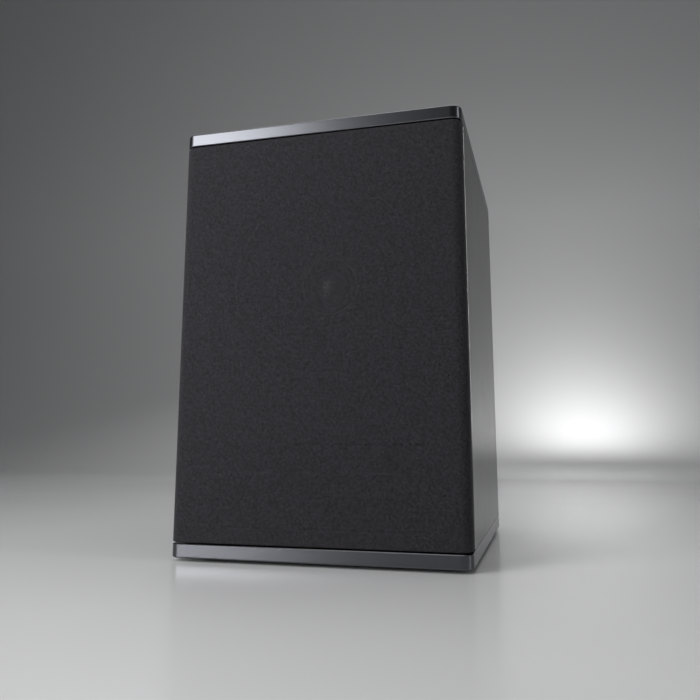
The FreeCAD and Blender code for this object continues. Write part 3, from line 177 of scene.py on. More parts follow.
class StageSettings(PropertyGroup):
    floor: colour("Floor", "Colour of the floor and its backdrop", (0.74, 0.74, 0.745))
    lens: length("Lens", "Focal length of the camera, on a 36 mm sensor", 0.03727)
    key: watts("Key", "Power of the large softbox on the left, in watts", 11.5)
    strip: watts("Strip", "Power of the narrow light on the right, in watts", 2.6)
    overhead: watts("Overhead", "Power of the panel above, in watts", 5.0)
    glow: watts("Glow", "Power of the light on the backdrop, in watts", 1.25)
    rear: watts("Rear", "Power of the soft light behind, in watts", 3.5)
    surroundings: share("Surroundings", "Brightness of the room", 0.06)


SETTINGS = {
    "speaker_grille": GrilleSettings,
    "speaker_casing": CasingSettings,
    "speaker_driver": DriverSettings,
    "speaker_panel": PanelSettings,
    "speaker_crossover": CrossoverSettings,
    "speaker_lining": LiningSettings,
    "speaker_stage": StageSettings,
}


# ------------------------------------------------------------------ surfaces from numbers

def grid(rows, columns, close_rows=False, close_columns=False):
    """The quads of a grid of points numbered row by row, closed round either way where asked."""
    row = np.arange(rows if close_rows else rows - 1)[:, None]
    column = np.arange(columns if close_columns else columns - 1)[None, :]
    next_row = (row + 1) % rows
    next_column = (column + 1) % columns
    corners = (row * columns + column, row * columns + next_column,
               next_row * columns + next_column, next_row * columns + column)
    return np.stack(np.broadcast_arrays(*corners), axis=-1).reshape(-1, 4)


def face_outwards(points, faces):
    """Turns every face over if the volume that they close, measured from their middle, is negative."""
    spot = points - points.mean(axis=0)
    a, b, c, d = (spot[faces[:, corner]] for corner in range(4))
    volume = (a * np.cross(b, c)).sum() + (a * np.cross(c, d)).sum()
    return faces if volume > 0 else faces[:, ::-1]


def new_piece(name, points, faces, finish, body=None, uv=None):
    """A smooth mesh piece with a finish, which rides on a CAD body where given."""
    mesh = bpy.data.meshes.new(name)
    mesh.from_pydata(points.tolist(), [], faces.tolist())
    mesh.polygons.foreach_set("use_smooth", np.ones(len(mesh.polygons), bool))
    if uv is not None:
        order = np.empty(len(mesh.loops), np.int32)
        mesh.loops.foreach_get("vertex_index", order)
        layer = mesh.uv_layers.new(name="flat_cloth")
        layer.data.foreach_set("uv", uv[order].astype(np.float32).ravel())
    mesh.update()
    mesh.materials.append(finish)
    piece = bpy.data.objects.new(name, mesh)
    bpy.context.scene.collection.objects.link(piece)
    if body:
        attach(piece, body)
    return piece


def weld(piece, distance=1e-6):
    """Joins the doubled points along the seams of a piece."""
    shell = bmesh.new()
    shell.from_mesh(piece.data)
    bmesh.ops.remove_doubles(shell, verts=shell.verts, dist=distance)
    shell.to_mesh(piece.data)
    shell.free()
    piece.data.update()


def lathe(section, centre, axis, turns):
    """A closed section of (distance along the axis, radius) pairs, carried round the axis.

    The point at angle a has the section's distance along the axis, and its radius times the
    sine and the cosine of a across it.
    """
    angle = np.linspace(0, 2 * np.pi, turns, endpoint=False)[:, None]
    along = np.broadcast_to(section[None, :, 0], (turns, len(section)))
    across = section[None, :, 1] * np.sin(angle)
    upward = section[None, :, 1] * np.cos(angle)
    order = {"Y": (across, along, upward), "X": (along, across, upward)}[axis]
    points = np.stack(order, axis=-1).reshape(-1, 3) + np.asarray(centre)
    faces = grid(turns, len(section), close_rows=True, close_columns=True)
    return points, face_outwards(points, faces)


def skin_section(middle, thick):
    """A closed section: the middle line moved half the thickness to each side along its normals."""
    slope = np.gradient(middle, axis=0)
    normal = np.stack([slope[:, 1], -slope[:, 0]], axis=1)
    normal /= np.linalg.norm(normal, axis=1)[:, None]
    return np.concatenate([middle + normal * thick / 2, (middle - normal * thick / 2)[::-1]])


def smoothed(values, passes):
    """Each inner value becomes the mean of itself, weighted twice, and its two neighbours."""
    values = values.copy()
    for _ in range(passes):
        values[1:-1] = (values[:-2] + 2 * values[1:-1] + values[2:]) / 4
    return values


def smoothstep(value, low, high):
    """0 below low, 1 above high and, with w the share of the way between, 3 w^2 - 2 w^3."""
    share_of_way = np.clip((value - low) / (high - low), 0, 1)
    return share_of_way ** 2 * (3 - 2 * share_of_way)


def ripple(points, wavelength, count, seed):
    """A sum of plane waves of random direction and phase, mostly from -1 to 1."""
    random = np.random.default_rng(seed)
    heading = random.normal(size=(count, 3))
    heading /= np.linalg.norm(heading, axis=1)[:, None]
    waves = 2 * np.pi / (wavelength * random.uniform(0.6, 1.6, count))
    phase = random.uniform(0, 2 * np.pi, count)
    return np.sin(points @ (heading * waves[:, None]).T + phase).sum(axis=1) / math.sqrt(count) / 1.6


def bend_across_radius(piece):
    """Bakes an annular skin's placement into its mesh and reads its points, which are not used further.
    """
    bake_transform(piece)
    spots = np.empty(len(piece.data.vertices) * 3)
    piece.data.vertices.foreach_get("co", spots)
    spots = spots.reshape(-1, 3)


# ------------------------------------------------------------------ shader maths

class Signal:
    """A number that varies over a surface: a node's output, to which Python's operators add Math nodes."""

    def __init__(self, finish, socket):
        self.finish = finish
        self.socket = socket

    def math(self, operation, first, second=0.0):
        return self.finish.node("ShaderNodeMath", {"operation": operation}, {0: first, 1: second})

    def __add__(self, other):
        return self.math("ADD", self, other)

    def __sub__(self, other):
        return self.math("SUBTRACT", self, other)

    def __rsub__(self, other):
        return self.math("SUBTRACT", other, self)

    def __mul__(self, other):
        return self.math("MULTIPLY", self, other)

    def __abs__(self):
        return self.math("ABSOLUTE", self)

    __radd__ = __add__

    def sine(self):
        return self.math("SINE", self)

    def highest(self, other):
        return self.math("MAXIMUM", self, other)

    def lowest(self, other):
        return self.math("MINIMUM", self, other)

    def clamped(self):
        return self.finish.node("ShaderNodeClamp", {}, {"Value": self})

    def step(self, low, high):
        """0 below low, 1 above high and straight in between."""
        return ((self - low) * (1 / (high - low))).clamped()


class Finish:
    """One material made of nodes, on a piece's Object coordinates unless it says otherwise."""

    def __init__(self, name, **constants):
        self.material = bpy.data.materials.new(name)
        self.material.use_nodes = True
        self.tree = self.material.node_tree
        self.tree.nodes.clear()
        self.shader = self.tree.nodes.new("ShaderNodeBsdfPrincipled")
        output = self.tree.nodes.new("ShaderNodeOutputMaterial")
        self.tree.links.new(self.shader.outputs["BSDF"], output.inputs["Surface"])
        self.set(**constants)
        self.spots = None

    def feed(self, socket, value):
        if isinstance(value, Signal):
            self.tree.links.new(value.socket, socket)
        elif hasattr(value, "__len__") and len(value) == 3 and socket.type == "RGBA":
            socket.default_value = (*value, 1.0)
        else:
            socket.default_value = value

    def node(self, kind, settings, sockets, output=0):
        """Adds one node: its settings first, then the values or links of its sockets."""
        made = self.tree.nodes.new(kind)
        for name, value in settings.items():
            setattr(made, name, value)
        for key, value in sockets.items():
            self.feed(made.inputs[key], value)
        return Signal(self, made.outputs[output])

    def set(self, **sockets):
        """Sets the shader's own sockets, named with underscores for spaces."""
        for name, value in sockets.items():
            self.feed(self.shader.inputs[name.replace("_", " ")], value)

    def place(self):
        if self.spots is None:
            self.spots = self.node("ShaderNodeTexCoord", {}, {}, "Object")
        return self.spots

    def stretched(self, scale, centre=(0, 0, 0)):
        """Object coordinates taken from a centre, then scaled along each axis."""
        moved = self.node("ShaderNodeVectorMath", {"operation": "SUBTRACT"}, {0: self.place(), 1: centre})
        return self.node("ShaderNodeVectorMath", {"operation": "MULTIPLY"}, {0: moved, 1: scale})

    def axes(self, vector=None):
        """The three components of a vector, of the object's coordinates unless one is given."""
        source = vector or self.place()
        parts = self.tree.nodes.new("ShaderNodeSeparateXYZ")
        self.feed(parts.inputs[0], source)
        return [Signal(self, socket) for socket in parts.outputs]

    def radius(self):
        """Distance from the driver's axis."""
        flat = self.stretched((1, 0, 1), (0, 0, AXIS_Z))
        return self.node("ShaderNodeVectorMath", {"operation": "LENGTH"}, {0: flat}, "Value")

    def noise(self, size, detail=2.0, rough=0.5, stretch=(1, 1, 1)):
        """Soft noise from 0 to 1 whose features are about one size, in metres, along each axis."""
        spots = self.stretched(tuple(1 / (size * way) for way in stretch))
        return self.node("ShaderNodeTexNoise", {}, {
            "Vector": spots, "Scale": 1.0, "Detail": detail, "Roughness": rough}, "Fac")

    def cells(self, size, feature="F1", stretch=(1, 1, 1)):
        """Distance to the nearest of scattered points about one size apart."""
        spots = self.stretched(tuple(1 / (size * way) for way in stretch))
        return self.node("ShaderNodeTexVoronoi", {"feature": feature}, {"Vector": spots, "Scale": 1.0},
                         "Distance")

    def mixed(self, first, second, amount):
        """From the first colour to the second as the amount goes from 0 to 1."""
        return self.node("ShaderNodeMix", {"data_type": "RGBA", "clamp_factor": True},
                         {0: amount, 6: first, 7: second}, 2)

    def shaded(self, base, amount, low=0.7, high=1.3):
        """A colour from low to high times its brightness as the amount goes from 0 to 1."""
        return self.mixed(scaled(base, low), scaled(base, high), amount)

    def bumped(self, height, depth, strength=1.0):
        """The normal of a surface raised by a height from 0 to 1 times a depth in metres."""
        return self.node("ShaderNodeBump", {}, {"Strength": strength, "Distance": depth, "Height": height},
                         "Normal")


def scaled(base, factor):
    return tuple(min(1.0, part * factor) for part in base)


# ------------------------------------------------------------------ finishes

def knit(settings):
    """Fine plain-woven cloth on its flat layout, one yarn over and one under.

    A yarn's crest across its width is the absolute sine of its place over the pitch. It rides up
    and down by the product of the two sines, and the higher of the two yarns shows. Where both
    crests are low there is a gap.
    """
    finish = Finish("grille_knit", Specular_IOR_Level=0.25, Sheen_Weight=0.08, Sheen_Roughness=0.45)
    flat = finish.node("ShaderNodeUVMap", {"uv_map": "flat_cloth"}, {})
    across, along, _ = finish.axes(flat)
    drift = (finish.noise(0.006, 3.0) - 0.5) * 0.9
    turn = math.pi / settings.pitch
    warp = (across * turn + drift).sine()
    weft = (along * turn - drift).sine()
    cross = warp * weft
    warp_crest, weft_crest = abs(warp), abs(weft)
    warp_high = warp_crest * (cross * 0.4 + 0.6)
    weft_high = weft_crest * (cross * -0.4 + 0.6)
    height = warp_high.highest(weft_high)
    gap = ((1 - warp_crest) * (1 - weft_crest)).step(0.12, 0.5)
    fuzz = finish.noise(0.0010, 4.0, 0.7)
    mottle = finish.noise(0.0018, 3.0, 0.6)
    yarn = tuple(settings.yarn)
    # The weave's height lightens the yarn on its crests and darkens it between the yarns: painted shade in
    # the weave, added to the yarn's random fuzz and mottle.
    tone = height * 0.3 + (fuzz - 0.5) * 1.6 + (mottle - 0.5) * 2.0 + 0.35
    finish.set(Base_Color=finish.shaded(yarn, tone, 0.2, 1.9),
               Roughness=0.74 + fuzz * 0.18,
               Alpha=1 - gap * settings.openness,
               Normal=finish.bumped(height + fuzz * 0.5, 0.00016, 0.7))
    return finish.material


def moulded(name, base, rough, grain=0.0005, depth=0.00003):
    """Moulded plastic with a fine eroded grain and faint rubbed patches."""
    finish = Finish(name)
    grained = finish.noise(grain, 3.0, 0.6)
    rubbed = finish.noise(0.022, 3.0)
    finish.set(Base_Color=finish.shaded(base, grained * 0.5 + rubbed * 0.5, 0.75, 1.3),
               Roughness=rough + (grained - 0.5) * 0.16 + (rubbed - 0.5) * 0.14,
               Normal=finish.bumped(grained, depth, 0.6))
    return finish.material


def anodised(base):
    """Dark satin anodised metal, finely brushed from side to side, a little brighter at its edges."""
    finish = Finish("dark_anodised", Metallic=1.0)
    brushed = finish.noise(0.00022, 2.0, 0.6, stretch=(70, 1, 1))
    long_marks = finish.noise(0.0009, 3.0, 0.6, stretch=(60, 1, 1))
    cloud = finish.noise(0.05, 2.0)
    across, depth, high = finish.axes()
    (_, _, under), (side, rear, top) = span("top_cap")
    lower_top = span("bottom_cap")[1][2]
    rim = near_edge(abs(across), side).highest(near_edge(abs(depth), rear))
    upper = high.step(float(top) - 0.0010, float(top) - 0.0002)
    levels = upper.highest(level_line(high, lower_top)).highest(level_line(high, under))
    worn = rim * levels * finish.noise(0.004, 4.0, 0.7)
    tone = brushed * 0.4 + long_marks * 0.35 + cloud * 0.25
    metal = finish.shaded(base, tone, 0.97, 1.03)
    finish.set(Base_Color=finish.mixed(metal, scaled(base, 3.0), worn * 0.6),
               Roughness=0.29 + (brushed - 0.5) * 0.02 + (cloud - 0.5) * 0.03,
               Normal=finish.bumped(brushed * 0.6 + long_marks * 0.4, 0.0000005, 0.2))
    return finish.material


def near_edge(place, edge):
    """1 at an edge and beyond, falling to 0 at 1.1 mm before it."""
    return place.step(float(edge) - 0.0011, float(edge) - 0.0003)


def level_line(high, level):
    """1 at a level, falling to 0 at 0.6 mm above and below it."""
    return abs(high - float(level)).step(0.0006, 0.0001)


def lacquered(base):
    """Satin lacquer over fibreboard: a faint orange peel, soft polishing haze, polished front bevels."""
    finish = Finish("black_lacquer", Coat_Roughness=0.12)
    peel = finish.noise(0.0028, 2.0, 0.45)
    haze = finish.noise(0.045, 4.0, 0.6)
    nib = finish.cells(0.019).step(0.035, 0.012)
    _, depth, _ = finish.axes()
    bevel = (depth - BAFFLE_Y).step(0.0009, 0.0007)
    finish.set(Base_Color=finish.shaded(base, haze, 0.8, 1.25),
               Roughness=0.36 + (haze - 0.5) * 0.05 + (peel - 0.5) * 0.03 - bevel * 0.16,
               Coat_Weight=(0.22 + (haze - 0.5) * 0.08 + bevel).lowest(1.0),
               Normal=finish.bumped(peel + nib * 1.4, 0.000004, 0.4))
    return finish.material


def fibreboard(base):
    """Bare fibreboard: pressed fibres lying level with darker specks, painted black in the shadow gaps."""
    finish = Finish("raw_fibreboard")
    walls_low, walls_high = (float(corner[2]) for corner in span("side_panel_left"))
    _, _, high = finish.axes()
    painted = high.step(walls_high - 0.0004, walls_high).highest(high.step(walls_low + 0.0004, walls_low))
    fibre = finish.noise(0.0007, 5.0, 0.72, stretch=(3.5, 3.5, 1))
    patch = finish.noise(0.03, 3.0)
    speck = finish.cells(0.0035, stretch=(1.6, 1.2, 0.7)).step(0.22, 0.06)
    board = finish.shaded(base, fibre * 0.65 + patch * 0.35, 0.66, 1.28)
    board = finish.mixed(board, scaled(base, 0.42), speck * 0.55)
    finish.set(Base_Color=finish.mixed(board, (0.006, 0.006, 0.006), painted),
               Roughness=0.80 + fibre * 0.14,
               Normal=finish.bumped(fibre, 0.00008, 0.7))
    return finish.material


def rubbery(name, base, rough, grain=0.0004, bloom=0.35):
    """Matt rubber with a fine grain and a pale bloom in patches."""
    finish = Finish(name, Specular_IOR_Level=0.35)
    grained = finish.noise(grain, 4.0, 0.65)
    pale = finish.noise(0.009, 4.0, 0.6).step(0.45, 0.8)
    dark = finish.shaded(base, grained, 0.7, 1.25)
    finish.set(Base_Color=finish.mixed(dark, scaled(base, 2.4), pale * bloom),
               Roughness=rough + (grained - 0.5) * 0.16,
               Normal=finish.bumped(grained, 0.00003, 0.6))
    return finish.material


def rolled_rubber(base):
    """The smooth roll: moulding rings round the driver's axis and a light bloom."""
    finish = Finish("roll_rubber", Specular_IOR_Level=0.45)
    ring = (finish.radius() * (2 * math.pi / 0.0009)).sine() * 0.5 + 0.5
    pale = finish.noise(0.012, 4.0, 0.6)
    finish.set(Base_Color=finish.shaded(base, pale, 0.8, 1.5),
               Roughness=0.50 + (pale - 0.5) * 0.18 + ring * 0.03,
               Normal=finish.bumped(ring * 0.3 + pale, 0.00002, 0.5))
    return finish.material


def foamed(base):
    """Closed-cell foam: rounded cells with thin walls, with painted shade in the cells' hollows."""
    finish = Finish("foam_gasket", Roughness=0.92, Specular_IOR_Level=0.2)
    cell = finish.cells(0.0006)
    # The cells' hollows are darkened and their walls lightened: painted shade.
    finish.set(Base_Color=finish.shaded(base, cell, 0.5, 1.5), Normal=finish.bumped(cell, 0.0002, 0.8))
    return finish.material


def powder_coated(base):
    """Cast metal under powder coat: a low rounded texture, thinner and shinier on its high spots."""
    finish = Finish("cast_powder_coat", Metallic=0.15)
    pebble = finish.cells(0.0008, "SMOOTH_F1")
    cast = finish.noise(0.006, 4.0, 0.55)
    finish.set(Base_Color=finish.shaded(base, cast, 0.7, 1.5),
               Roughness=0.46 + (pebble - 0.4) * 0.18,
               Normal=finish.bumped(pebble * 0.7 + cast * 0.5, 0.00006, 0.7))
    return finish.material


def pressed_pulp(base):
    """Pressed pulp: matted fibres, short pale strands and a soft sheen."""
    finish = Finish("pressed_pulp", Specular_IOR_Level=0.3, Sheen_Weight=0.08, Sheen_Roughness=0.5)
    matted = finish.noise(0.0006, 6.0, 0.75)
    strand = finish.cells(0.0022, stretch=(1.9, 1, 0.5)).step(0.14, 0.03)
    patch = finish.noise(0.013, 3.0)
    pulp = finish.shaded(base, matted * 0.6 + patch * 0.4, 0.55, 1.5)
    finish.set(Base_Color=finish.mixed(pulp, scaled(base, 4.0), strand * 0.35),
               Roughness=0.72 + (matted - 0.5) * 0.25,
               Normal=finish.bumped(matted, 0.00010, 0.8))
    return finish.material


def dipped_cloth(base):
    """The spider: open woven cloth stiffened with resin, browner where the resin is thick, with painted
    shade in the gaps between the threads.
    """
    finish = Finish("resin_dipped_cloth", Specular_IOR_Level=0.45)
    across, _, upward = finish.axes()
    turn = math.pi / 0.0006
    warp, weft = abs((across * turn).sine()), abs((upward * turn).sine())
    weave = warp.highest(weft)
    resin = finish.noise(0.007, 4.0, 0.6)
    # The weave lightens the threads and darkens the gaps between them: painted shade.
    cloth = finish.shaded(base, weave, 0.45, 1.15)
    finish.set(Base_Color=finish.mixed(cloth, scaled(base, 0.5), resin.step(0.45, 0.85) * 0.6),
               Roughness=0.62 - resin * 0.2,
               Normal=finish.bumped(weave, 0.0001, 0.8))
    return finish.material


def zinc_plated():
    """Bright zinc: spangled in soft patches, with a faint yellow and blue tint and fine scratches."""
    finish = Finish("zinc_plate", Metallic=1.0)
    patch = finish.noise(0.004, 3.0, 0.5)
    scratch = finish.noise(0.0004, 3.0, 0.7, stretch=(14, 1, 3))
    tint = finish.mixed((0.50, 0.50, 0.44), (0.46, 0.49, 0.56), patch.step(0.3, 0.7))
    finish.set(Base_Color=tint, Roughness=0.30 + (scratch - 0.5) * 0.16 + (patch - 0.5) * 0.12,
               Normal=finish.bumped(scratch, 0.00001, 0.5))
    return finish.material


def ground_ferrite():
    """Dark ferrite with ground faces and tiny chips that catch the light."""
    finish = Finish("ground_ferrite", Specular_IOR_Level=0.6)
    ground = finish.noise(0.0005, 4.0, 0.7, stretch=(8, 1, 1))
    chip = finish.cells(0.005).step(0.10, 0.03)
    dark = finish.shaded((0.045, 0.045, 0.048), ground, 0.6, 1.4)
    finish.set(Base_Color=finish.mixed(dark, (0.14, 0.14, 0.15), chip * 0.7),
               Roughness=0.52 + (ground - 0.5) * 0.25 - chip * 0.15,
               Normal=finish.bumped(ground - chip * 0.8, 0.00004, 0.7))
    return finish.material


def rolled_foil():
    """Thin aluminium foil, rolled round the axis, so its marks run along the coil."""
    finish = Finish("rolled_foil", Metallic=1.0)
    lines = finish.noise(0.0003, 3.0, 0.6, stretch=(1, 30, 1))
    finish.set(Base_Color=finish.shaded((0.70, 0.70, 0.71), lines, 0.85, 1.1),
               Roughness=0.26 + lines * 0.14, Normal=finish.bumped(lines, 0.00001, 0.5))
    return finish.material


def wound_copper(name, base, axis, pitch):
    """Enamelled copper, with its turns side by side along an axis where the mesh doesn't show them, and
    painted shade in the grooves between the turns.
    """
    finish = Finish(name, Metallic=0.85, Coat_Roughness=0.08)
    along = finish.axes()[{"X": 0, "Y": 1}[axis]]
    crest = abs((along * (math.pi / pitch)).sine())
    varnish = finish.noise(0.004, 4.0, 0.6)
    # The turns' crests lighten the copper and the grooves between them darken it: painted shade, mixed
    # with the varnish's own tone.
    finish.set(Base_Color=finish.shaded(base, crest * 0.6 + varnish * 0.4, 0.35, 1.25),
               Roughness=0.28 + (varnish - 0.5) * 0.14,
               Coat_Weight=0.5 + (varnish - 0.5) * 0.3,
               Normal=finish.bumped(crest, pitch * 0.25, 0.6))
    return finish.material


def spun_metal():
    """The dome: satin metal with rings spun round the driver's axis."""
    finish = Finish("spun_dome", Metallic=1.0)
    ring = (finish.radius() * (2 * math.pi / 0.00032)).sine() * 0.5 + 0.5
    fine = finish.noise(0.0012, 3.0, 0.6)
    finish.set(Base_Color=finish.shaded((0.50, 0.50, 0.52), ring * 0.5 + fine * 0.5, 0.8, 1.15),
               Roughness=0.30 + ring * 0.06 + (fine - 0.5) * 0.1,
               Normal=finish.bumped(ring, 0.000006, 0.5))
    return finish.material


def circuit_board(base):
    """Solder mask over wide copper tracks that run along the board, with bright pads at its holes."""
    finish = Finish("circuit_board")
    _, depth, high = finish.axes()
    track_pitch, gap_pitch, glass_turn = 0.016, 0.027, 2600
    wander = (finish.noise(0.03, 1.0) - 0.5) * 0.006
    track = abs(((high + wander) * (math.pi / track_pitch)).sine()).step(0.52, 0.60)
    gap = abs(((depth - wander) * (math.pi / gap_pitch)).sine()).step(0.10, 0.14)
    copper = track * gap
    glass = abs((high * glass_turn).sine()) * abs((depth * glass_turn).sine())
    mask = finish.mixed(scaled(base, 0.62), scaled(base, 1.5), copper)
    finish.set(Base_Color=finish.mixed(mask, scaled(base, 0.35), glass * 0.25),
               Roughness=0.33 + glass * 0.12, Normal=finish.bumped(copper + glass * 0.15, 0.00006, 0.7))
    return finish.material


def gold_plated(base):
    """Gold plate with turning marks round each part and a few dull finger marks."""
    finish = Finish("gold_plate", Metallic=1.0)
    turned = finish.noise(0.00016, 2.0, 0.6, stretch=(20, 1, 20))
    mark = finish.noise(0.006, 4.0, 0.6)
    finish.set(Base_Color=finish.shaded(base, turned * 0.5 + mark * 0.5, 0.85, 1.1),
               Roughness=0.15 + turned * 0.1 + mark.step(0.5, 0.8) * 0.14,
               Normal=finish.bumped(turned, 0.000006, 0.5))
    return finish.material


def glossy(name, base, rough=0.2):
    """Glossy plastic with flow marks, faint scratches and dust-dulled patches."""
    finish = Finish(name)
    flow = finish.noise(0.006, 3.0, 0.5)
    scratch = finish.noise(0.0003, 2.0, 0.7, stretch=(12, 3, 1))
    finish.set(Base_Color=finish.shaded(base, flow, 0.82, 1.2),
               Roughness=rough + (scratch - 0.5) * 0.12 + flow.step(0.55, 0.8) * 0.12,
               Normal=finish.bumped(flow + scratch * 0.3, 0.00002, 0.5))
    return finish.material


def black_oxide():
    """Black oxide screws: dark metal with a slightly oily, uneven shine."""
    finish = Finish("black_oxide", Metallic=0.9)
    oil = finish.noise(0.0012, 3.0, 0.6)
    finish.set(Base_Color=finish.shaded((0.045, 0.045, 0.05), oil, 0.6, 1.8),
               Roughness=0.34 + (oil - 0.5) * 0.3, Normal=finish.bumped(oil, 0.00002, 0.6))
    return finish.material


def film_wrap():
    """Capacitors: yellow film wound on, so its laps run across the can, between pale resin ends."""
    finish = Finish("capacitor_film")
    _, depth, _ = finish.axes()
    lap = finish.noise(0.0008, 2.0, 0.5, stretch=(1, 16, 1))
    cloud = finish.noise(0.008, 2.0)
    film = finish.shaded((0.56, 0.34, 0.05), lap * 0.5 + cloud * 0.5, 0.8, 1.2)
    can_middle, can_half = -0.009, 0.015
    outward = abs(depth - can_middle) - can_half
    ends = outward.step(-0.0012, -0.0006) * outward.step(0.0008, 0.0002)
    finish.set(Base_Color=finish.mixed(film, (0.62, 0.52, 0.34), ends * 0.8),
               Roughness=0.30 + (lap - 0.5) * 0.1, Normal=finish.bumped(lap, 0.00002, 0.5))
    return finish.material


def fired_ceramic():
    """Resistors: chalky ceramic with a sandy cement face."""
    finish = Finish("resistor_ceramic", Specular_IOR_Level=0.3)
    sand = finish.noise(0.0005, 5.0, 0.7)
    stain = finish.noise(0.005, 3.0)
    finish.set(Base_Color=finish.shaded((0.74, 0.72, 0.66), sand * 0.5 + stain * 0.5, 0.75, 1.12),
               Roughness=0.78 + (sand - 0.5) * 0.2, Normal=finish.bumped(sand, 0.00006, 0.7))
    return finish.material


def lofted_fibre(base):
    """Polyester fibre: crossing bright strands over soft shaded hollows."""
    finish = Finish("lofted_fibre", Specular_IOR_Level=0.25, Sheen_Weight=0.5, Sheen_Roughness=0.4)
    strand = finish.noise(0.0009, 4.0, 0.7, stretch=(7, 1, 1.3))
    other = finish.noise(0.0009, 4.0, 0.7, stretch=(1.2, 7, 5))
    hollow = finish.noise(0.011, 3.0, 0.6)
    tangle = strand.highest(other)
    finish.set(Base_Color=finish.shaded(base, tangle * 0.6 + hollow * 0.4, 0.62, 1.15),
               Roughness=0.80 + hollow * 0.15,
               Normal=finish.bumped(tangle + hollow, 0.0006, 0.8))
    return finish.material


def make_finishes(scene):
    """Every material slot of the record and the finish that it gets."""
    casing, driver = scene.speaker_casing, scene.speaker_driver
    panel, crossover, lining = scene.speaker_panel, scene.speaker_crossover, scene.speaker_lining
    plastic = tuple(casing.plastic)
    return {
        "grille_cloth": knit(scene.speaker_grille),
        "black_plastic": moulded("black_plastic", plastic, 0.50),
        "satin_plastic": moulded("satin_plastic", scaled(plastic, 1.4), 0.38, 0.0003, 0.00001),
        "dark_anodised": anodised(tuple(casing.metal)),
        "black_lacquer": lacquered(tuple(casing.lacquer)),
        "raw_board": fibreboard(tuple(casing.board)),
        "soft_rubber": rubbery("soft_rubber", (0.028, 0.028, 0.029), 0.72),
        "roll_rubber": rolled_rubber(tuple(driver.rubber)),
        "foam_rubber": foamed((0.04, 0.04, 0.042)),
        "cast_alloy": powder_coated((0.030, 0.030, 0.032)),
        "cone_pulp": pressed_pulp(tuple(driver.pulp)),
        "spider_cloth": dipped_cloth(tuple(driver.spider)),
        "plated_steel": zinc_plated(),
        "ferrite": ground_ferrite(),
        "coil_former": rolled_foil(),
        "copper_wire": wound_copper("coil_wire", tuple(crossover.copper), "Y", 0.00035),
        "dome_metal": spun_metal(),
        "circuit_board": circuit_board(tuple(crossover.mask)),
        "gold_plate": gold_plated(tuple(panel.gold)),
        "red_knob": glossy("red_knob", tuple(panel.positive)),
        "black_knob": glossy("black_knob", tuple(panel.negative)),
        "black_screws": black_oxide(),
        "capacitor_film": film_wrap(),
        "resistor_ceramic": fired_ceramic(),
        "red_sleeve": glossy("red_sleeve", tuple(panel.positive), 0.35),
        "black_sleeve": glossy("black_sleeve", tuple(panel.negative), 0.35),
        "wadding": lofted_fibre(tuple(lining.fibre)),
    }


# ------------------------------------------------------------------ operators

class SPEAKER_OT_finishes(Operator):
    """Gives every carried-over CAD part the finish of its material slot"""

    bl_idname = "speaker.finishes"
    bl_label = "Finish the parts"

    def execute(self, context):
        finishes = make_finishes(context.scene)
        slots = {row["node"]: row["material_slot"] for row in frame["record"]["subparts"]}
        for node, part in frame["nodes"].items():
            part.data.materials.clear()
            part.data.materials.append(finishes[slots[node]])
        return {"FINISHED"}


def finish_of(node):
    """The finish that the finishes operator gave a CAD part."""
    return frame["nodes"][node].data.materials[0]


class SPEAKER_OT_grille_cloth(Operator):
    """Stretches the cloth over the grille frame and turns it in behind"""

    bl_idname = "speaker.grille_cloth"
    bl_label = "Stretch the grille cloth"

    def execute(self, context):
        settings = context.scene.speaker_grille
        low, high = span("grille_cloth")
        patches = cloth_patches(low, high, settings.end_round, settings.hem)
        points, faces, uv = joined_patches(patches, (low + high) / 2)
        finish = finish_of("grille_cloth")
        cloth = new_piece("stretched_cloth", points, faces, finish, "grille", uv)
        weld(cloth)
        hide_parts("grille_cloth")
        return {"FINISHED"}


def rounded_front(half, front, back, inset):
    """The x and the y of the cloth's outline, seen from above.

    It runs forward up the left side, round a quarter circle, across the front, round the other
    quarter circle and back down the right side, all moved inwards by the inset.
    """
    turn_x, turn_y = half - CLOTH_CORNER, front + CLOTH_CORNER
    bend = CLOTH_CORNER - inset
    side = np.linspace(back, turn_y, 5)[:-1]
    turn = np.linspace(0, np.pi / 2, 13)
    across = np.linspace(-turn_x, turn_x, 101)[1:-1]
    left_x = np.concatenate([np.full(len(side), inset - half), -turn_x - bend * np.cos(turn)])
    left_y = np.concatenate([side, turn_y - bend * np.sin(turn)])
    x = np.concatenate([left_x, across, -left_x[::-1]])
    y = np.concatenate([left_y, np.full(len(across), front + inset), left_y[::-1]])
    return x, y


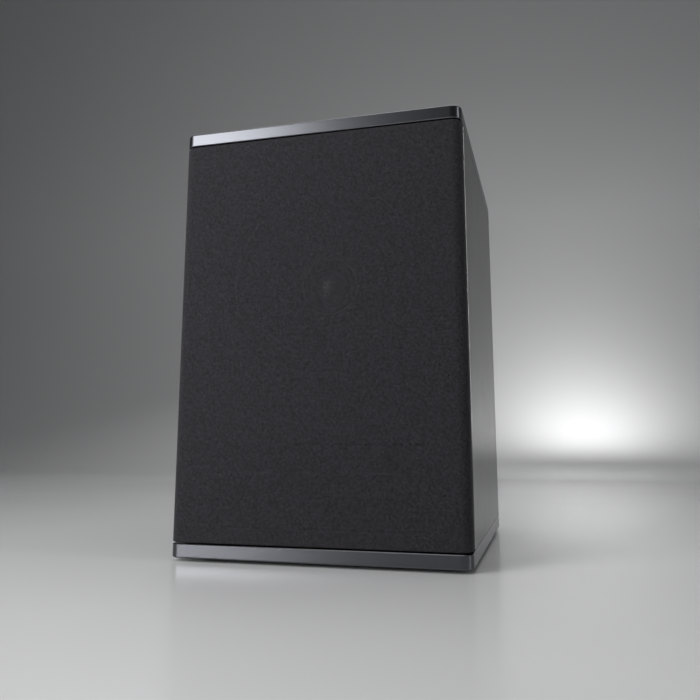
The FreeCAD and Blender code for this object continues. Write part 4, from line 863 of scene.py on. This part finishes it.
def cloth_patches(low, high, end_round, hem):
    """The cloth as seven grids: the wrap, and at each end a fold, a hem across and a hem up a side.

    The wrap is the rounded outline carried up the height. Over its last few levels it moves
    inwards by the end round times one minus the cosine, and upwards by its sine, of an angle
    from 0 to a quarter turn. Each end runs straight from there to the back edge. The hems' points
    move in from the back edge by 0 to the hem's width, so that their corners meet on a mitre. A
    grid is its x, y and z, and its place across and along the flat cloth.
    """
    half, front, back = high[0], low[1], high[1]
    middle, half_tall = (low[2] + high[2]) / 2, (high[2] - low[2]) / 2
    turn = np.linspace(0, np.pi / 2, 7)
    drawn_in = end_round * (1 - np.cos(turn))
    straight = np.linspace(-half_tall + end_round, half_tall - end_round, 131)[1:-1]
    top_levels = half_tall - end_round + end_round * np.sin(turn)
    levels = np.concatenate([-top_levels[::-1], straight, top_levels])
    insets = np.concatenate([drawn_in[::-1], np.zeros(len(straight)), drawn_in])
    outlines = np.array([rounded_front(half, front, back, inset) for inset in insets])
    wrap_x, wrap_y = outlines[:, 0], outlines[:, 1]
    steps = np.hypot(np.diff(wrap_x[len(levels) // 2]), np.diff(wrap_y[len(levels) // 2]))
    distance = np.concatenate([[0], np.cumsum(steps)])
    distance = distance - distance[-1] / 2
    height = levels[:, None] + middle
    patches = [(wrap_x, wrap_y, height, distance, height)]
    back_x = distance / distance[-1] * (half - end_round)
    slide = np.linspace(0, 1, 9)[:, None]
    inward = np.linspace(0, hem, 7)[:, None]
    for way, edge in ((-1, 0), (1, -1)):
        fold_x = wrap_x[edge] + slide * (back_x - wrap_x[edge])
        fold_y = wrap_y[edge] + slide * (back - wrap_y[edge])
        end = middle + way * half_tall
        patches.append((fold_x, fold_y, end, distance, end + way * slide * (back - front)))
        hem_x = back_x * (1 - inward / (half - end_round))
        hem_along = middle + way * (half_tall + back - front + inward)
        patches.append((hem_x, back, middle + way * (half_tall - inward), distance, hem_along))
        side_x = wrap_x[:, edge] - way * inward
        side_z = middle + levels * (1 - inward / half_tall)
        patches.append((side_x, back, side_z, way * (distance[-1] + inward), levels + middle))
    return patches


def joined_patches(patches, centre):
    """The points, the faces turned away from a centre, and the flat places of several grids."""
    points, faces, uv, count = [], [], [], 0
    for patch in patches:
        x, y, z, across, along = np.broadcast_arrays(*patch)
        points.append(np.stack([x, y, z], axis=-1).reshape(-1, 3))
        uv.append(np.stack([across, along], axis=-1).reshape(-1, 2))
        quads = grid(*x.shape)
        if not points_away(points[-1], quads, centre):
            quads = quads[:, ::-1]
        faces.append(quads + count)
        count += len(points[-1])
    return np.concatenate(points), np.concatenate(faces), np.concatenate(uv)


def points_away(points, quads, centre):
    """True if a patch's faces point away from a centre, on the whole."""
    a, b, c, d = (points[quads[:, corner]] for corner in range(4))
    normal = np.cross(c - a, d - b)
    outward = (a + b + c + d) / 4 - np.asarray(centre)
    return float((normal * outward).sum()) > 0


class SPEAKER_OT_woofer_skins(Operator):
    """Makes the woofer's rubber roll, ribbed cone and corrugated spider"""

    bl_idname = "speaker.woofer_skins"
    bl_label = "Make the woofer's skins"

    def execute(self, context):
        settings = context.scene.speaker_driver
        centre = (0, BAFFLE_Y, AXIS_Z)
        points, faces = lathe(roll_section(settings.roll_rise), centre, "Y", turns=192)
        roll = new_piece("rubber_roll", points, faces, finish_of("woofer_surround"), None)
        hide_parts("woofer_surround")
        bend_across_radius(roll)

        points, faces = lathe(cone_section(settings.cone_rib), centre, "Y", turns=192)
        finish = finish_of("woofer_cone")
        cone = new_piece("ribbed_cone", points, faces, finish, "woofer_moving")
        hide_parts("woofer_cone")

        points, faces = lathe(spider_section(settings.corrugation), centre, "Y", turns=160)
        finish = finish_of("woofer_spider")
        spider = new_piece("corrugated_spider", points, faces, finish, None)
        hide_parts("woofer_spider")
        bend_across_radius(spider)
        return {"FINISHED"}


def roll_section(rise):
    """The roll: a flat glued to the ledge, a half wave forwards, and a flat glued to the cone.

    Between the two flats the depth falls by the rise times the sine of an angle that goes from 0
    to a half turn as the radius goes from outside to inside along a half circle.
    """
    glued, lip, thick = 0.07288, 0.0581, 0.0007
    turn = np.linspace(0, np.pi, 41)
    outside = np.linspace(glued, ROLL_OUTER, 8)[:-1]
    wave = (ROLL_OUTER + ROLL_INNER) / 2 + (ROLL_OUTER - ROLL_INNER) / 2 * np.cos(turn)
    inside = np.linspace(ROLL_INNER, lip, 7)[1:]
    radius = np.concatenate([outside, wave, inside])
    depth = np.full(len(radius), ROLL_DEPTH)
    depth[len(outside):-len(inside)] -= rise * np.sin(turn)
    return skin_section(np.stack([smoothed(depth, 2), radius], axis=1), thick)


def cone_section(rib):
    """The cone: a lip under the roll, a slope with three pressed ribs, and a neck on the former.

    The depth grows in a straight line as the radius falls from the lip to the neck. A rib adds
    its height times a bell curve about its own radius.
    """
    lip, edge, neck, thick = 0.0602, 0.0580, 0.0227, 0.0008
    lip_depth, cone_depth = 0.0034, 0.0200
    ribs, rib_width = (0.031, 0.040, 0.049), 0.0007
    radius = np.concatenate([np.linspace(lip, edge, 6)[:-1], np.linspace(edge, neck, 90)])
    depth = lip_depth + cone_depth * np.clip((edge - radius) / (edge - neck), 0, 1)
    for place in ribs:
        depth = depth - rib * np.exp(-((radius - place) / rib_width) ** 2)
    return skin_section(np.stack([smoothed(depth, 2), radius], axis=1), thick)


def spider_section(wave):
    """The spider: a flat on its landing, four waves inwards, and a collar on the former.

    Between the flats the depth swings by the wave's height times the sine of an angle that turns
    four times over the radius, and the swing fades out over the last 8 % at each end.
    """
    landing, collar, thick, waves = 0.0448, 0.0225, 0.0006, 4
    radius = np.linspace(landing, collar, 150)
    way = np.clip((SPIDER_OUTER - radius) / (SPIDER_OUTER - SPIDER_INNER), 0, 1)
    fade = smoothstep(way, 0.0, 0.08) * smoothstep(-way, -1.0, -0.92)
    depth = SPIDER_DEPTH + wave * np.sin(2 * waves * np.pi * way) * fade
    return skin_section(np.stack([depth, radius], axis=1), thick)


class SPEAKER_OT_tweeter_roll(Operator):
    """Makes the small roll round the tweeter's dome"""

    bl_idname = "speaker.tweeter_roll"
    bl_label = "Make the tweeter's roll"

    def execute(self, context):
        points, faces = lathe(tweeter_section(), (0, BAFFLE_Y, AXIS_Z), "Y", turns=128)
        roll = new_piece("tweeter_roll", points, faces, finish_of("tweeter_surround"), None)
        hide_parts("tweeter_surround")
        bend_across_radius(roll)
        return {"FINISHED"}


def tweeter_section():
    """The small roll: a half wave forwards between two glued edges.

    The radius is that of the crest plus half the wave's width times a cosine, and the depth falls
    by the rise times a sine, of an angle from 0 to a half turn.
    """
    outer_edge, inner_edge, thick = 0.01528, 0.01279, 0.00022
    crest, half_wave, rise = 0.01403, 0.00105, 0.00085
    turn = np.linspace(0, np.pi, 25)
    radius = np.concatenate([[outer_edge], crest + half_wave * np.cos(turn), [inner_edge]])
    depth = TWEETER_DEPTH - rise * np.concatenate([[0], np.sin(turn), [0]])
    return skin_section(np.stack([depth, radius], axis=1), thick)


class SPEAKER_OT_windings(Operator):
    """Winds the crossover's two air-cored coils turn by turn"""

    bl_idname = "speaker.windings"
    bl_label = "Wind the coils"

    def execute(self, context):
        settings = context.scene.speaker_crossover
        wire = wound_copper("inductor_wire", tuple(settings.copper), "X", 0.01)
        for node, bore, wire_setting in COILS:
            low, high = span(node)
            outer = float(high[2] - low[2]) / 2
            thick = getattr(settings, wire_setting)
            section = winding_section(float(high[0] - low[0]), bore, outer, thick)
            centre = (float(low[0]), float(low[1] + high[1]) / 2, float(low[2] + high[2]) / 2)
            points, faces = lathe(section, centre, "X", turns=96)
            coil = new_piece(node + "_winding", points, faces, wire, "cabinet")
            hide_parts(node)
        return {"FINISHED"}


def winding_section(tall, bore, outer, wire):
    """A winding cut along its axis: a rectangle whose sides are rows of half-round wires.

    Each side is a chain of bumps as high as half the wire, the absolute sine of the distance
    over the wire's thickness.
    """
    def row(long):
        bumps = max(1, int(long / wire))
        place = np.linspace(0, long, bumps * 6, endpoint=False)
        return place, wire / 2 * (np.abs(np.sin(np.pi * place * bumps / long)) - 1)

    up, out = row(tall - wire)
    inwards, end = row(outer - bore - wire)
    start = wire / 2
    sides = [(start + up, outer + out), (tall + end, outer - start - inwards),
             (tall - start - up, bore - out), (-end, bore + start + inwards)]
    return np.concatenate([np.stack(side, axis=1) for side in sides])


class SPEAKER_OT_lining(Operator):
    """Makes the three fluffy fibre pads that line the cabinet"""

    bl_idname = "speaker.lining"
    bl_label = "Make the fibre pads"

    def execute(self, context):
        settings = context.scene.speaker_lining
        for number, (node, thin) in enumerate(PADS):
            low, high = span(node)
            points, faces = fibre_pad(low, high, thin, settings.lump, 40 + number)
            strands, ribbons = loose_fibres(points, low, high, settings.strands, 60 + number)
            faces = np.concatenate([faces, ribbons + len(points)])
            points = np.concatenate([points, strands])
            pad = new_piece("fibre_" + node, points, faces, finish_of(node), "cabinet")
            weld(pad)
            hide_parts(node)
        return {"FINISHED"}


def fibre_pad(low, high, thin, lump, seed):
    """A crowned pad: two sheets that meet at a rounded rim, with lumps and small tufts.

    With a and b from -1 to 1 across the pad, each sheet stands off the middle by half the
    thickness times the 0.42 power of (1 - a^6)(1 - b^6). Long and short random waves bring that
    down to between 0.5 and 0.985 of it. Half the pad's width is multiplied by the square root of
    1 - 0.1 b^2 and half its length by that of 1 - 0.1 a^2, so that its corners draw in.
    """
    wide = [axis for axis in range(3) if axis != thin]
    size = high - low
    mesh_step, draw_in = 0.0022, 0.10
    counts = [int(np.clip(size[axis] / mesh_step, 30, 110)) for axis in wide]
    ways = [np.sin(np.linspace(-np.pi / 2, np.pi / 2, count)) for count in counts]
    a, b = np.meshgrid(*ways, indexing="ij")
    crown = np.clip((1 - a ** 6) * (1 - b ** 6), 0, 1) ** 0.42
    middle = (low + high) / 2
    sheets = []
    for side in (-1, 1):
        spots = np.zeros((*a.shape, 3))
        spots[..., wide[0]] = middle[wide[0]] + size[wide[0]] / 2 * a * np.sqrt(1 - draw_in * b ** 2)
        spots[..., wide[1]] = middle[wide[1]] + size[wide[1]] / 2 * b * np.sqrt(1 - draw_in * a ** 2)
        flat = spots.reshape(-1, 3)
        lumps = ripple(flat + side, lump, 14, seed + side).reshape(a.shape)
        tufts = ripple(flat + side, lump / 5, 24, seed + 7 * side).reshape(a.shape)
        fullness = np.clip(0.80 + 0.16 * lumps + 0.05 * tufts, 0.5, 0.985)
        spots[..., thin] = middle[thin] + side * size[thin] / 2 * crown * fullness
        quads = grid(*a.shape)
        flat = spots.reshape(-1, 3)
        sheets.append((flat, quads if points_away(flat, quads, middle) else quads[:, ::-1]))
    points = np.concatenate([sheets[0][0], sheets[1][0]])
    faces = np.concatenate([sheets[0][1], sheets[1][1] + len(sheets[0][0])])
    return points, faces


def loose_fibres(points, low, high, count, seed):
    """Fine ribbons that lie over the pad, each bent along a parabola.

    A fibre starts at a random point of the pad, runs along a random heading, bends sideways by
    the square of the way along, and lifts a little in its middle. Nothing leaves the pad's box.
    """
    shortest, longest, sideways_bend, lift, half_width = 0.006, 0.014, 0.5, 0.0006, 0.00006
    random = np.random.default_rng(seed)
    root = points[random.integers(0, len(points), count)]
    middle = (low + high) / 2
    outward = np.sign(root - middle) * (np.abs(root - middle) / (high - low) > 0.3)
    heading = random.normal(size=(count, 3))
    heading /= np.linalg.norm(heading, axis=1)[:, None]
    sideways = np.cross(heading, random.normal(size=(count, 3)))
    sideways /= np.linalg.norm(sideways, axis=1)[:, None]
    long = random.uniform(shortest, longest, count)[:, None, None]
    way = np.linspace(0, 1, 6)[None, :, None]
    line = root[:, None, :] + long * way * heading[:, None, :]
    line = line + long * sideways_bend * way ** 2 * sideways[:, None, :]
    line = line + lift * np.sin(np.pi * way) * outward[:, None, :]
    edge = half_width * np.cross(heading, sideways)[:, None, :]
    ribbon = np.stack([line - edge, line + edge], axis=2).reshape(-1, 3)
    ribbon = np.clip(ribbon, low, high)
    strips = grid(way.size, 2)[None] + np.arange(count)[:, None, None] * 2 * way.size
    return ribbon, strips.reshape(-1, 4)


class SPEAKER_OT_stage(Operator):
    """Sets up the floor, the soft lights and the camera"""

    bl_idname = "speaker.stage"
    bl_label = "Set the stage"

    def execute(self, context):
        settings = context.scene.speaker_stage
        make_cove(tuple(settings.floor))
        for name, spot, aim, size, power in LIGHTS:
            soft_light(name, spot, aim, size, getattr(settings, power))
        world = bpy.data.worlds.new("room")
        context.scene.world = world
        world.use_nodes = True
        sky = world.node_tree.nodes["Background"]
        sky.inputs["Color"].default_value = (0.93, 0.96, 1.0, 1.0)
        sky.inputs["Strength"].default_value = settings.surroundings
        context.scene.view_settings.view_transform = "Standard"
        make_camera(context.scene, settings)
        return {"FINISHED"}


def make_cove(base):
    """A floor that curves up into a backdrop: a line, a quarter circle and a line, carried sideways."""
    floor, wall, bend, tall, half, sunk = -4.0, 1.95, 0.9, 3.2, 4.5, 0.0001
    turn = np.linspace(0, np.pi / 2, 25)
    level = np.linspace(floor, wall - bend, 12)[:-1]
    upright = np.linspace(bend, tall, 9)[1:]
    depth = np.concatenate([level, wall - bend + bend * np.sin(turn), np.full(len(upright), wall)])
    height = np.concatenate([np.zeros(len(level)), bend * (1 - np.cos(turn)), upright]) - sunk
    across = np.linspace(-half, half, 10)[:, None]
    points = np.stack(np.broadcast_arrays(across, depth, height), axis=-1).reshape(-1, 3)
    finish = Finish("cove_paint")
    cloud = finish.noise(0.5, 2.0)
    fine = finish.noise(0.002, 3.0)
    finish.set(Base_Color=finish.shaded(base, cloud * 0.5 + fine * 0.5, 0.97, 1.02),
               Roughness=0.16 + cloud * 0.05, Normal=finish.bumped(fine, 0.00001, 0.3))
    cove = new_piece("studio_cove", points, grid(len(across), len(depth)), finish.material)


def soft_light(name, spot, aim, size, power):
    """A rectangular softbox at a spot, facing a point."""
    lamp = bpy.data.lights.new(name, "AREA")
    lamp.shape = "RECTANGLE"
    lamp.size, lamp.size_y = size
    lamp.energy = power
    light = bpy.data.objects.new(name, lamp)
    light.location = spot
    light.rotation_euler = (Vector(aim) - Vector(spot)).to_track_quat("-Z", "Y").to_euler()
    bpy.context.scene.collection.objects.link(light)


def make_camera(scene, settings):
    """A low camera to the right of the speaker, turned towards it and tilted up."""
    level = math.cos(CAMERA_PITCH)
    ahead = Vector((-math.sin(CAMERA_YAW) * level, math.cos(CAMERA_YAW) * level, math.sin(CAMERA_PITCH)))
    right = Vector((math.cos(CAMERA_YAW), math.sin(CAMERA_YAW), 0))
    up = right.cross(ahead)
    lens = bpy.data.cameras.new("camera")
    lens.lens = settings.lens * 1000
    lens.sensor_width = 36.0
    lens.shift_x, lens.shift_y = CAMERA_SHIFT
    lens.clip_start, lens.clip_end = 0.01, 30.0
    camera = bpy.data.objects.new("camera", lens)
    turned = Matrix((right, up, -ahead)).transposed().to_4x4()
    camera.matrix_world = Matrix.Translation(CAMERA_SPOT) @ turned
    scene.collection.objects.link(camera)
    scene.camera = camera


# ------------------------------------------------------------------ panel and registration

PIECES = (SPEAKER_OT_finishes, SPEAKER_OT_grille_cloth, SPEAKER_OT_woofer_skins, SPEAKER_OT_tweeter_roll,
          SPEAKER_OT_windings, SPEAKER_OT_lining, SPEAKER_OT_stage)


class SPEAKER_PT_build(Panel):
    """Lists the sizes, the colours and the steps of the speaker"""

    bl_idname = "SPEAKER_PT_build"
    bl_label = "Bookshelf Speaker"
    bl_space_type = "VIEW_3D"
    bl_region_type = "UI"
    bl_category = "Speaker"

    def draw(self, context):
        for pointer, group in SETTINGS.items():
            box = self.layout.box()
            box.label(text=group.__name__.replace("Settings", ""))
            for name in group.__annotations__:
                box.prop(getattr(context.scene, pointer), name)
        for step in PIECES:
            self.layout.operator(step.bl_idname)


CLASSES = (*SETTINGS.values(), *PIECES, SPEAKER_PT_build)


def register():
    for made in CLASSES:
        bpy.utils.register_class(made)
    for pointer, group in SETTINGS.items():
        setattr(bpy.types.Scene, pointer, PointerProperty(type=group))


def unregister():
    for pointer in SETTINGS:
        delattr(bpy.types.Scene, pointer)
    for made in reversed(CLASSES):
        bpy.utils.unregister_class(made)


def main():
    register()
    bpy.ops.speaker.finishes()
    bpy.ops.speaker.grille_cloth()
    bpy.ops.speaker.woofer_skins()
    bpy.ops.speaker.tweeter_roll()
    bpy.ops.speaker.windings()
    bpy.ops.speaker.lining()
    bpy.ops.speaker.stage()


if __name__ == "__main__":
    main()
